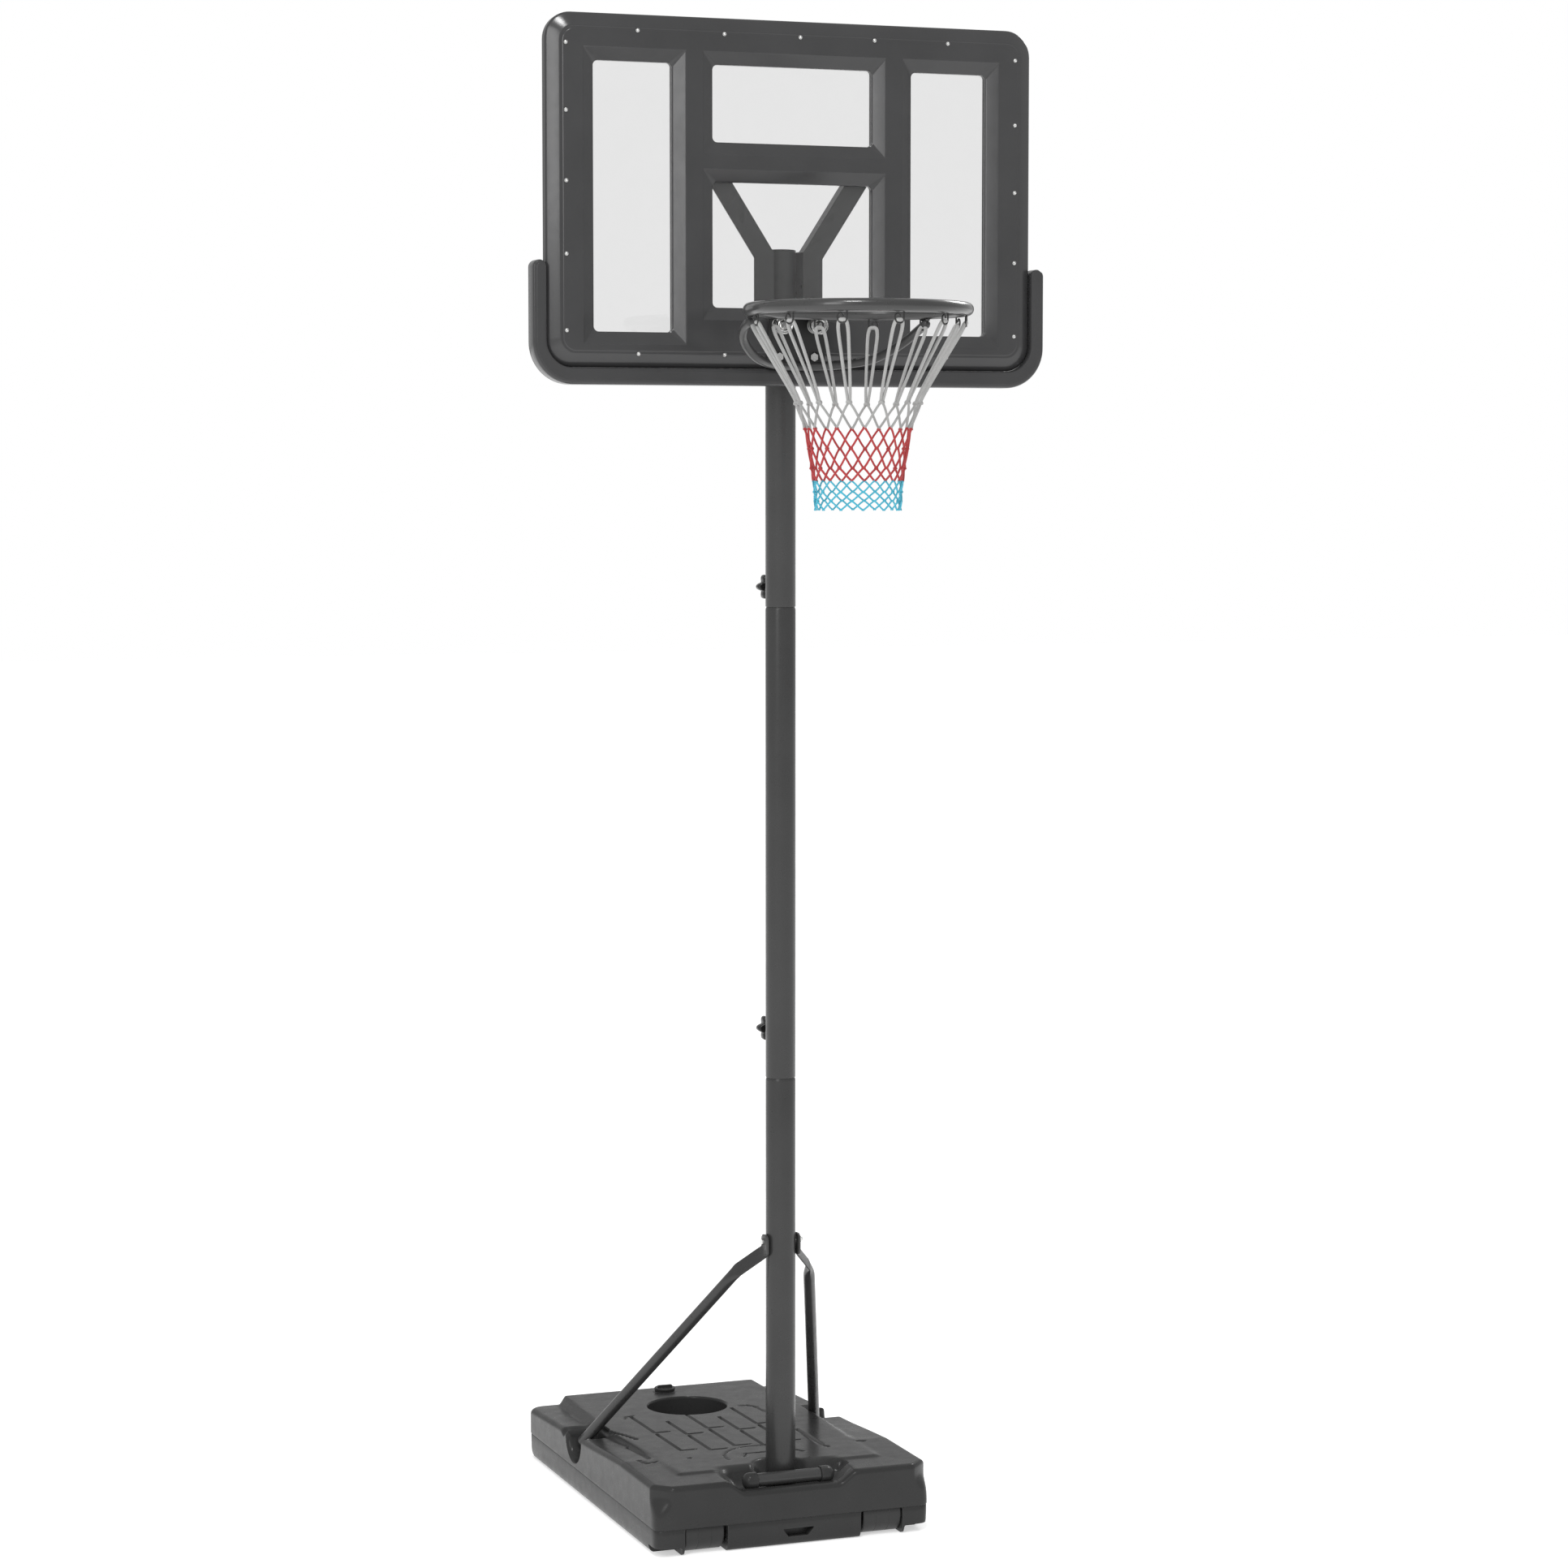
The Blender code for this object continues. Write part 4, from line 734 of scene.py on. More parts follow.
def make_tank():
    tank = tank_body()
    inner, outer = 0.0722, 0.1035
    lug = [(0.0, inner), (0.0178, inner), (0.0186, inner + 0.0010)]
    lug += [(0.0186 * c, outer - 0.016 + 0.016 * s) for c, s in arc(6, 0, 90)]
    added = [lathe(f"lug_{tag}", [(r, side * h) for r, h in lug], (0, FOOT_Y, FOOT_Z - 0.001), "X", 32)
             for side, tag in LEFT_RIGHT]
    boss = [(0, 0.120), (0.030, 0.120), (0.030, 0.1385), (0.0292, 0.1405), (0.0275, 0.1413), (0, 0.1413)]
    added.append(lathe("filler_boss", boss, (0, FILLER_Y, 0), "Z", 48))
    combine(tank, added, "UNION")

    well = [(0, 0.17), (0.0985, 0.17), (0.0985, 0.1445)]
    well += [(WELL_R + 0.0080 * (1 - s), 0.1360 + 0.0080 * c) for c, s in arc(6, 0, 90)]
    well += [(0.0850, 0.064), (0.0835, 0.0585), (0.0795, 0.0555), (0.0740, 0.0547), (0, 0.0547)]
    seat = [(0, 0.1160), (0.0336, 0.1160), (0.0346, 0.1170), (0.0346, 0.15), (0, 0.15)]
    cutters = [
        lathe("well_cutter", well, (0, WELL_Y, 0), "Z", 96),
        cylinder("filler_cutter", 0.0166, 0.10, 0.16, (0, FILLER_Y, 0), "Z", 32),
        lathe("seat_cutter", seat),
    ]
    for side, tag in LEFT_RIGHT:
        cutters += side_cutters(side, tag)
    slot = fillet([(-0.027, 0.036), (0.045, 0.036), (0.030, 0.0185), (-0.014, 0.0185)], 0.002)
    cutters.append(outline_loft("slot_cutter", [(-0.12, slot), (-0.066, slot)]))
    combine(tank, cutters)
    finish_piece(tank, TANK_PLASTIC, "base", ["base_tank"], angle=38.0)


def make_water():
    """The filling, kept clear of the shell's recesses."""
    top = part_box("water_fill")[1][2] - 0.002
    water = rounded_block("tank_water", (-0.300, 0.020, 0.0085), (0.300, 0.830, top), 0.030, "Z", 8)
    tools = [cylinder("well_space", 0.098, 0.0, 0.2, (0, WELL_Y, 0))]
    for side, tag in LEFT_RIGHT:
        low_x, high_x = span(side, 0.230, 0.36)
        tools.append(rounded_block(f"pocket_space_{tag}", (low_x, POCKET_Y[0] - 0.008, 0.062),
                                   (high_x, POCKET_Y[1] + 0.008, 0.20), 0.008, "Z"))
    combine(water, tools)
    finish_piece(water, WATER, "base", ["water_fill"])


def make_filler_cap():
    (_, _, seal_bottom), (_, _, seal_top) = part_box("cap_seal")
    low = seal_top + GAP
    rim = []
    for i, (c, s) in enumerate(circle(120)):
        reach = 0.0238 + 0.0003 * (1 if i % 4 in (0, 1) else -1)
        rim.append((reach * c, reach * s))
    levels = [(0.93, 0.0), (1.0, 0.0008), (1.0, 0.0040), (0.955, 0.0052), (0.90, 0.0054), (0.86, 0.0048)]
    outlines = [(low + h, [(x * s, FILLER_Y + y * s) for x, y in rim]) for s, h in levels]
    cap = outline_loft("screw_cap", outlines, "Z")
    plug_end = [(0, -0.020), (0.0140, -0.020), (0.0154, -0.0185), (0.0154, 0.002), (0, 0.002)]
    grip = rounded_block("cap_grip", (-0.0175, FILLER_Y - 0.0030, low + 0.003),
                         (0.0175, FILLER_Y + 0.0030, low + 0.0105), 0.0025, "Y")
    combine(cap, [lathe("cap_plug", plug_end, (0, FILLER_Y, low), "Z", 40), grip], "UNION")
    soften(cap, 0.0004, 50.0)
    finish_piece(cap, WHEEL_PLASTIC, "cap_turn", ["filler_cap"], 35.0)
    ring = [(0.0172, seal_bottom), (0.0229, seal_bottom), (0.0235, seal_bottom + 0.0006),
            (0.0235, seal_top - 0.0006), (0.0229, seal_top), (0.0172, seal_top)]
    finish_piece(lathe("seal_ring", ring, (0, FILLER_Y, 0), "Z", 48, closed=True), SEAL_RUBBER, "cap_lift",
                 ["cap_seal"])


def make_wheels():
    edge = 0.0432
    half = [
        (0.0058, edge - 0.002), (0.0105, edge - 0.002), (0.0115, edge - 0.005), (0.0300, edge - 0.006),
        (0.0340, edge - 0.002), (0.0352, edge), (0.0400, edge), (0.0418, edge - 0.003),
        (0.0418, 0.016), (0.0408, 0.0145), (0.0418, 0.013),
    ]
    outline = fillet([(r, -h) for r, h in half] + half[::-1], 0.0012)
    for _, tag in LEFT_RIGHT:
        wheel = lathe(f"roller_{tag}", outline, middle(f"wheel_{tag}"), "X", 72, closed=True)
        finish_piece(wheel, WHEEL_PLASTIC, f"wheel_{tag}", [f"wheel_{tag}"])
        low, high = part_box(f"axle_{tag}")
        axle = rod(f"axle_rod_{tag}", 0.0050, (low[0], high[0]), (0.0007, 0.0007),
                   (0, WHEEL_Y, WHEEL_Z), "X", 32)
        finish_piece(axle, ZINC, "base", [f"axle_{tag}"])


# Pole and struts

POLE_R, NECK_R, NECK_LENGTH, WALL = 0.03175, 0.02965, 0.355, 0.0015
BOLT_HOLE_R, STUD_HOLE_R, HOLE_STEP = 0.0043, 0.005, 0.0762


def pole_piece(name, node, body, neck, holes):
    low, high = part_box(node)
    bottom, top = low[2], high[2]
    outer = [(POLE_R - 0.0014, bottom), (POLE_R - 0.0005, bottom + 0.0006), (POLE_R, bottom + 0.0020)]
    if neck:
        shoulder = top - NECK_LENGTH
        outer += [
            (POLE_R, shoulder - 0.0060), (POLE_R - 0.0004, shoulder - 0.0035),
            (POLE_R - 0.0012, shoulder - 0.0014), (NECK_R + 0.0004, shoulder - 0.0003),
            (NECK_R, shoulder + 0.0010), (NECK_R, top - 0.0008), (NECK_R - 0.0006, top),
        ]
        bore = [(NECK_R - WALL, top), (NECK_R - WALL, shoulder - 0.040), (POLE_R - WALL, shoulder - 0.060)]
    else:
        outer += [(POLE_R, top - 0.0010), (POLE_R - 0.0006, top)]
        bore = [(POLE_R - WALL, top)]
    made = lathe(name, outer + bore + [(POLE_R - WALL, bottom)], steps=96, closed=True)
    combine(made, holes)
    finish_piece(made, STEEL, body, [node])


def rear_hole(z):
    return drill("rear_hole", (0, 0.020, z), (0, 0.040, z), STUD_HOLE_R)


def cross_hole(node):
    z = middle(node).z
    return drill("cross_hole", (-0.05, 0, z), (0.05, 0, z), BOLT_HOLE_R)


def make_poles():
    lower_z, upper_z = middle("lower_knob").z, middle("upper_knob").z
    steps = [HOLE_STEP * i for i in range(4)]
    pole_piece("lower_tube", "lower_pole", "base", True,
               [rear_hole(lower_z + step) for step in steps] + [cross_hole("strut_bolt")])
    pole_piece("middle_tube", "middle_pole", "middle_section", True,
               [rear_hole(upper_z + step) for step in steps] + [rear_hole(lower_z)])
    pole_piece("upper_tube", "upper_pole", "upper_section", False,
               [rear_hole(upper_z), cross_hole("pole_bolt_lower"), cross_hole("pole_bolt_upper")])
    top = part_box("upper_pole")[1][2] + GAP
    cap = [(0, top - 0.015), (0.0290, top - 0.015), (0.0293, top - 0.0143), (0.0293, top), (POLE_R, top),
           (POLE_R, top + 0.0010), (0.0310, top + 0.0026), (0.0290, top + 0.0036), (0.0240, top + 0.0040),
           (0, top + 0.0040)]
    finish_piece(lathe("tube_plug", cap), KNOB_PLASTIC, "upper_section", ["pole_cap"])


def make_foot():
    half, r = 0.0718, 0.0145
    outline = [(r, half - 0.0008), (r - 0.0006, half), (r - 0.0020, half), (r - 0.0020, -half),
               (r - 0.0006, -half), (r, -half + 0.0008)]
    foot = lathe("foot_tube", outline, (0, FOOT_Y, FOOT_Z), "X", 48, closed=True)
    combine(foot, [cylinder("saddle", POLE_R + GAP, 0.10, 0.18, steps=96)])
    finish_piece(foot, STEEL, "base", ["pole_foot_tube"])
    bead = []
    for c, s in arc(24, -150, -30):
        x, y = (POLE_R + 0.0012) * c, (POLE_R + 0.0012) * s
        drop = max(0.0, r * r - (y - FOOT_Y) ** 2) ** 0.5
        bead.append((x, y, FOOT_Z + drop + 0.0004))
    weld = tube("foot_weld", bead, [0.0016 + 0.0004 * math.sin(i * 2.3) for i in range(25)], 10)
    finish_piece(weld, STEEL, "base")
    pin = rod("foot_rod", 0.0060, (-FOOT_PIN_HALF, FOOT_PIN_HALF), (0.0007, 0.0008),
              (0, FOOT_Y, FOOT_Z), "X", 32)
    finish_piece(pin, ZINC, "base", ["foot_pin"])


def strut_stations(foot, bend, fold):
    """Stations up one strut, as (centre, direction, half width, half thickness), and its broad direction."""
    axis, strip = (bend - foot).normalized(), (fold - bend).normalized()
    lowest, tube_r = 0.104, 0.0125
    stations = [(foot + axis * ((lowest - foot.z) / axis.z), axis, tube_r, tube_r)]
    for back, wide, thin in ((0.050, tube_r, tube_r), (0.038, 0.0127, 0.0121), (0.028, 0.0133, 0.0108),
                             (0.019, 0.0141, 0.0088), (0.012, 0.0147, 0.0068), (0.007, 0.0151, 0.0050)):
        stations.append((bend - axis * back, axis, wide, thin))
    stations.append((bend - axis * 0.002, axis.lerp(strip, 0.3).normalized(), 0.0154, 0.0036))
    stations.append((bend + strip * 0.002, axis.lerp(strip, 0.7).normalized(), 0.0155, 0.0028))
    for ahead in (0.007, 0.014, 0.060):
        stations.append((bend + strip * ahead, strip, 0.0155, 0.0024))
    stations.append((fold + strip * 0.003, strip, 0.0150, 0.0024))
    return stations, strip.cross(axis).normalized()


def make_struts():
    """Drawn on the right and mirrored: a tube, its end pressed flat, and an upright tab at the pole."""
    stations, broad = strut_stations(Vector((0.264, 0.486, 0.137)), Vector((0.0813, 0.044, 0.572)),
                                     Vector((0.0362, 0.002, 0.617)))
    bolt_z = middle("strut_bolt").z
    for side, tag in LEFT_RIGHT:
        mirror = Matrix.Diagonal((side, 1, 1))
        rings = []
        for centre, along, half_wide, half_thin in stations:
            power = 1.0 if half_thin > 0.006 else 0.55
            thin_way = along.cross(broad)
            rings.append([mirror @ (centre + broad * half_wide * c
                                    + thin_way * half_thin * math.copysign(abs(s) ** power, s))
                          for c, s in circle(40)])
        strut = loft(f"strut_tube_{tag}", rings)
        plate = []
        for x, inset in ((0.0338, 0.0006), (0.0343, 0.0), (0.0381, 0.0), (0.0386, 0.0006)):
            plate.append((side * x, rounded_rectangle(-0.0200 + inset, 0.0150 - inset, 0.6080 + inset,
                                                      bolt_z + 0.0148 - inset, 0.0120)))
        combine(strut, [outline_loft(f"strut_tab_{tag}", plate, "X")], "UNION")
        pin_low, pin_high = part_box(f"strut_pin_{tag}")
        pin = middle(f"strut_pin_{tag}")
        low_x, high_x = span(side, 0.030, 0.043)
        combine(strut, [cylinder("pole_space", POLE_R + 2 * GAP, 0.55, 0.70)])
        combine(strut, [
            drill("tab_hole", (low_x, 0, bolt_z), (high_x, 0, bolt_z), BOLT_HOLE_R),
            drill("pin_hole", (pin.x, pin_low[1], pin.z), (pin.x, pin_high[1], pin.z), BOLT_HOLE_R),
        ])
        finish_piece(strut, STEEL, "base", [f"strut_{tag}"], 40.0)
        made = rod(f"pocket_pin_{tag}", 0.0040, (pin_low[1], pin_high[1]), (0.0006, 0.0006),
                   (pin.x, 0, pin.z), "Y", 24)
        finish_piece(made, ZINC, "base", [f"strut_pin_{tag}"])


def make_knobs():
    points, lobes, pitch = 96, 6, 0.00125
    swings = [0.5 + 0.5 * math.cos(lobes * 2 * math.pi * i / points) for i in range(points)]
    reaches = [0.0195 + 0.0090 * swing ** 0.8 for swing in swings]
    outline = [(reach * c, reach * s) for reach, (c, s) in zip(reaches, circle(points))]
    levels = [(0.0560, 0.80), (0.0566, 0.89), (0.0580, 0.96), (0.0600, 0.995), (0.0630, 1.0), (0.0700, 1.0),
              (0.0735, 0.985), (0.0758, 0.94), (0.0772, 0.87), (0.0779, 0.78), (0.0779, 0.50), (0.0768, 0.44),
              (0.0768, 0.30)]
    neck = [(0, 0.0466), (0.0092, 0.0466), (0.0102, 0.0476), (0.0108, 0.0560), (0.0135, 0.0600), (0, 0.0600)]
    for tag in ("lower", "upper"):
        z = middle(f"{tag}_knob").z
        rings = [(y, [(x * s, z + w * s) for x, w in outline]) for y, s in levels]
        knob = outline_loft(f"star_knob_{tag}", rings)
        combine(knob, [lathe("knob_neck", neck, (0, 0, z), "Y", 40)], "UNION")
        combine(knob, [drill("knob_bore", (0, 0.040, z), (0, 0.0650, z), BOLT_HOLE_R)])
        finish_piece(knob, KNOB_PLASTIC, f"{tag}_grip", [f"{tag}_knob"], 40.0)

        (_, start, _), (_, end, _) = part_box(f"{tag}_stud")
        profile = [(0, start), (0.0030, start), (0.0038, start + 0.0010)]
        for i in range(int((end - start - 0.004) / pitch)):
            y = start + 0.0015 + i * pitch
            profile += [(0.0034, y), (0.0040, y + 0.0006)]
        profile += [(0.0034, end - 0.0005), (0, end)]
        finish_piece(lathe(f"clamp_stud_{tag}", profile, (0, 0, z), "Y", 24), ZINC, f"{tag}_screw",
                     [f"{tag}_stud"], 20.0)
        dress(f"{tag}_weld_nut", STEEL, 0.0006)


# Board

BOARD_FRONT, FRAME_BACK = -0.0875, -0.0625
FRAME = (-0.535, 0.535, 2.4835, 3.197)
FRAME_CORNER = 0.055
WINDOWS = [
    (-0.433, -0.264, 2.556, 3.102), (0.264, 0.433, 2.556, 3.102),
    (-0.176, 0.176, 2.945, 3.102), (-0.176, 0.176, 2.608, 2.864),
]
WINDOW_CORNER = 0.011
RIM_HOLE_R = 0.0045


def drawn_in(box, inset, corner):
    x_low, x_high, z_low, z_high = box
    return rounded_rectangle(x_low + inset, x_high - inset, z_low + inset, z_high - inset, corner, 12)


def window_cutters(walls):
    """One cutter for each window; walls is (y, how far the wall stands outside the window) pairs."""
    cutters = []
    for i, box in enumerate(WINDOWS):
        outlines = [(y, drawn_in(box, -grow, max(WINDOW_CORNER - grow * 0.4, 0.003))) for y, grow in walls]
        cutters.append(outline_loft(f"window_{i}", outlines))
    return cutters


def rim_bolt_holes(back):
    """Holes for the rim's four bolts."""
    places = [middle(f"{kind}_nut_{tag}") for _, tag in LEFT_RIGHT for kind in ("mount", "spring")]
    return [drill("through_hole", (p.x, -0.10, p.z), (p.x, back, p.z), RIM_HOLE_R) for p in places]


def make_front_frame():
    profile = [
        (FRAME_BACK, 0.0010), (FRAME_BACK - 0.0010, 0.0), (-0.0690, 0.0), (-0.0704, 0.0004),
        (-0.0716, 0.0013), (-0.0728, 0.0027), (-0.0740, 0.0044), (-0.0862, 0.0252), (-0.0868, 0.0266),
        (-0.0871, 0.0276), (-0.0871, 0.0290), (-0.0869, 0.0298), (-0.0867, 0.0304), (-0.0867, 0.0322),
        (-0.0869, 0.0330), (BOARD_FRONT, 0.0341),
    ]
    outlines = []
    for y, inset in profile:
        outlines.append((y, drawn_in(FRAME, inset, max(FRAME_CORNER - inset * 0.85, 0.012))))
    made = outline_loft("front_frame", outlines)
    walls = [(0.01, 0.0), (0.0, 0.0), (-0.0085, 0.0), (-0.0098, 0.0004), (-0.0108, 0.0014), (-0.0118, 0.0028),
             (-0.0232, 0.0232), (-0.0239, 0.0243), (-0.0244, 0.0254), (-0.0247, 0.0262), (-0.0260, 0.0272)]
    windows = window_cutters([(FRAME_BACK + ahead, grow) for ahead, grow in walls])
    combine(made, windows + rim_bolt_holes(-0.04))
    finish_piece(made, FRAME_PLASTIC, "upper_section", ["board_frame"], 14.0)


def make_rear_frame():
    front, back = -0.0589, -0.0465
    profile = [(front, 0.0012), (front + 0.0010, 0.0010), (back - 0.0040, 0.0010), (back - 0.0018, 0.0018),
               (back - 0.0006, 0.0034), (back, 0.0056)]
    outlines = [(y, drawn_in(FRAME, inset, FRAME_CORNER - inset)) for y, inset in profile]
    made = outline_loft("rear_frame", outlines)
    walls = [(front - 0.01, 0.002), (back - 0.0050, 0.002), (back - 0.0030, 0.0032), (back - 0.0012, 0.0058),
             (back - 0.0003, 0.0092), (back + 0.002, 0.0140)]
    grooves = [rounded_block("rear_groove", (x - 0.012, back - 0.0030, 2.60), (x + 0.012, back + 0.01, 3.06),
                             0.0045, "Y") for x in (-0.2205, 0.2205)]
    combine(made, window_cutters(walls) + rim_bolt_holes(-0.03) + grooves)
    finish_piece(made, FRAME_PLASTIC, "upper_section", ["backing_frame"], 14.0)


def trim_outline(inset):
    """The U of the edge pad, from the bottom middle up the right and back inside, then mirrored."""
    outer_x, inner_x = 0.565 - inset, 0.5355 + inset
    bottom, top_edge = 2.448 + inset, 2.483 - inset
    outer_r, inner_r = 0.085 - inset, 0.0545 + inset
    end_r = (outer_x - inner_x) / 2
    arcs = [
        (outer_x - outer_r, bottom + outer_r, outer_r, arc(20, -90, 0)),
        (outer_x - end_r, 2.684, end_r, arc(16, 0, 180)),
        (inner_x - inner_r, top_edge + inner_r, inner_r, arc(14, 0, -90)),
    ]
    right = [(x + radius * c, z + radius * s) for x, z, radius, turns in arcs for c, s in turns]
    return right + [(-x, z) for x, z in reversed(right)]


def make_trim():
    edge = [(-0.0462, 0.0040), (-0.0466, 0.0022), (-0.0478, 0.0008), (-0.0500, 0.0000), (-0.0790, 0.0000),
            (-0.0812, 0.0003), (-0.0830, 0.0011), (-0.0845, 0.0023), (-0.0854, 0.0040), (-0.0857, 0.0058),
            (-0.0857, 0.0076), (-0.0860, 0.0082)]
    made = outline_loft("edge_trim", [(y, trim_outline(inset)) for y, inset in edge])
    finish_piece(made, FRAME_PLASTIC, "upper_section", ["board_trim"], 22.0)


def add_screw(bm, x, y, z, radius=0.0032, face=-1):
    """A domed cross-head screw on a small washer; face is -1 where it looks along -Y."""
    turns = circle(24)
    layers = [(1.28, 0.0000), (1.30, 0.0003), (1.22, 0.0006), (1.00, 0.0007), (0.99, 0.0012), (0.90, 0.0021),
              (0.72, 0.0029), (0.48, 0.0034), (0.26, 0.0036)]
    rings = [([share] * len(turns), height) for share, height in layers]
    arms = [0.45 if k % 6 in (0, 1, 5) else 0.16 for k in range(len(turns))]
    rings.append(([arm * 0.6 for arm in arms], 0.0024))
    made = []
    for shares, height in rings:
        made.append([bm.verts.new((x + radius * share * c, y + face * height, z + radius * share * s))
                     for share, (c, s) in zip(shares, turns)])
    skin(bm, made, caps=True)


def make_frame_screws():
    face = BOARD_FRONT - 0.0001
    places = [(x, z) for x in (-0.495, 0.495) for z in (3.134, 2.999, 2.858, 2.711, 2.557)]
    places += [(x, 3.163) for x in (-0.342, -0.155, 0.011, 0.176, 0.341)]
    places += [(x, 2.511) for x in (-0.342, -0.155, 0.165, 0.340)]
    bm = bmesh.new()
    for x, z in places:
        add_screw(bm, x, face, z)
    finish_piece(link_mesh("frame_screws", bm), ZINC, "upper_section")
    bm = bmesh.new()
    for side, _ in LEFT_RIGHT:
        for z, x in ((2.905, 0.180), (2.880, 0.1385)):
            add_screw(bm, side * x, -0.0429, z, 0.0042, 1)
    finish_piece(link_mesh("arm_screws", bm), ZINC, "upper_section")


def make_fasteners():
    nodes = ["strut_nut", "strut_bolt"]
    nodes += [f"pole_{kind}_{tag}" for kind in ("nut", "bolt") for tag in ("lower", "upper")]
    for _, tag in LEFT_RIGHT:
        nodes += [f"{kind}_{tag}" for kind in ("spring_nut", "mount_nut", "spring_bolt", "mount_bolt")]
        dress(f"bracket_arm_{tag}", STEEL, 0.0007)
    for node in nodes:
        dress(node, ZINC, 0.0005)


# Rim

RIM_Y, RIM_Z, BAR_R, RING_R = -0.4376, 2.592, 0.0130, 0.2165
HOOK_STEP = 30
HOOK_ANGLES = [HOOK_STEP * k for k in range(12)]

# The net's knots, as (depth under the rim's centre, radius), and the cord's radius below each row
NET_ROWS = [(0.185, 0.1240), (0.235, 0.1060), (0.275, 0.0985), (0.314, 0.0930), (0.339, 0.0890),
            (0.361, 0.0872), (0.379, 0.0862), (0.3965, 0.0852)]
CORD_SIZES = [0.0025, 0.0022, 0.0022, 0.0022, 0.0018, 0.0018, 0.0018]


def on_ring(angle, radius, depth, sideways=0.0):
    """A point round the rim's centre; angle 0 is the front, sideways is along the ring."""
    a = math.radians(angle)
    out = Vector((math.sin(a), -math.cos(a), 0))
    side = Vector((math.cos(a), math.sin(a), 0))
    return Vector((0, RIM_Y, RIM_Z)) + out * radius + side * sideways - Vector((0, 0, depth))


def make_ring():
    centre = Vector((0, RIM_Y, RIM_Z))
    bm = bmesh.new()
    rings = []
    for x, y in circle(144):
        out = Vector((x, y, 0))
        rings.append([bm.verts.new(centre + out * (RING_R + BAR_R * c) + Vector((0, 0, BAR_R * s)))
                      for c, s in circle(24)])
    skin(bm, rings, closed=True)
    finish_piece(link_mesh("hoop_ring", bm), RIM_STEEL, "rim", ["rim_ring"], 60.0)

    route = [(0.0088, BAR_R - 0.0030), (0.0092, 0.0180), (0.0088, 0.0260), (0.0058, 0.0325), (0.0, 0.0348),
             (-0.0060, 0.0322), (-0.0092, 0.0255), (-0.0082, 0.0190), (-0.0040, 0.0160), (0.0004, 0.0182),
             (0.0018, 0.0215)]
    bm = bmesh.new()
    for angle in HOOK_ANGLES:
        path = smooth_path([on_ring(angle, RING_R - 0.001, depth, side) for side, depth in route], 4)
        add_tube(bm, path, 0.0018, 8)
    finish_piece(link_mesh("net_hooks", bm), SHADE_DARKENED_STEEL, "rim", (), 50.0)


def make_brace():
    half = [
        (0.1900, -0.3320, RIM_Z - BAR_R - 0.0098), (0.1895, -0.3000, 2.5600), (0.1797, -0.2620, 2.5410),
        (0.1560, -0.2280, 2.5190), (0.1200, -0.1930, 2.4995), (0.0650, -0.1400, 2.4905),
    ]
    route = half + [(0.0, -0.1055, 2.4890)] + [(-x, y, z) for x, y, z in reversed(half)]
    finish_piece(tube("brace_bar", smooth_path(route, 8), 0.0093, 24), STEEL, "rim",
                 ["rim_brace"], 50.0)
    bm = bmesh.new()
    for side, _ in LEFT_RIGHT:
        bead = [(side * (0.1905 - 0.003 * math.sin(i)), -0.346 + 0.004 * i, RIM_Z - BAR_R - 0.0012)
                for i in range(8)]
        add_tube(bm, bead, [0.0024 + 0.0006 * math.sin(i * 2.1) for i in range(8)], 10)
    finish_piece(link_mesh("brace_welds", bm), STEEL, "rim", (), 50.0)


def make_springs():
    coil_r, wire_r, turns, count = 0.0155, 0.0016, 3.5, 140
    front, back, bracket_face = -0.1290, -0.1265, -0.0955
    start, end = bracket_face - GAP - wire_r, back + GAP + wire_r
    disc = [(0.0043, front + 0.0006), (0.0090, front + 0.0004), (0.0098, front), (0.0130, front),
            (0.0138, front + 0.0005), (0.0160, front + 0.0005), (0.0168, front), (0.0182, front + 0.0001),
            (0.0189, front + 0.0008), (0.0190, back - 0.0006), (0.0184, back), (0.0043, back)]
    for side, tag in LEFT_RIGHT:
        x, z = side * 0.039, middle(f"spring_disc_{tag}").z
        path = []
        for i, (c, s) in enumerate(arc(count, 0, 360 * turns)):
            rise = float(ease(0.04, 0.96, i / count))
            path.append((x + coil_r * c, start + (end - start) * rise, z + coil_r * s))
        spring = tube(f"coil_{tag}", path, wire_r, 10)
        finish_piece(spring, SPRING_STEEL, "upper_section", [f"rim_spring_{tag}"], 60.0)
        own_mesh(spring)
        finish_piece(lathe(f"washer_{tag}", disc, (x, 0, z), "Y", 56, closed=True), ZINC, "upper_section",
                     [f"spring_disc_{tag}"])


def net_leg(start, end):
    """Points from one knot to the next, a little rounded at both ends."""
    rise = 0.35
    (a0, r0, d0), (a1, r1, d1) = start, end
    path = []
    for i in range(9):
        t = i / 8
        eased = t * (1 - rise) + rise * t * t * (3 - 2 * t)
        path.append(on_ring(a0 + (a1 - a0) * t, r0 + (r1 - r0) * eased, d0 + (d1 - d0) * eased))
    return path


def add_knot(bm, centre, radius):
    """A small wound knot: a short fat torus of cord."""
    path = []
    for c, s in arc(12, 0, 360):
        path.append(centre + Vector((radius * c, radius * s * 0.8, radius * 0.45 * 2 * s * c)))
    add_tube(bm, path, radius * 0.72, 8)


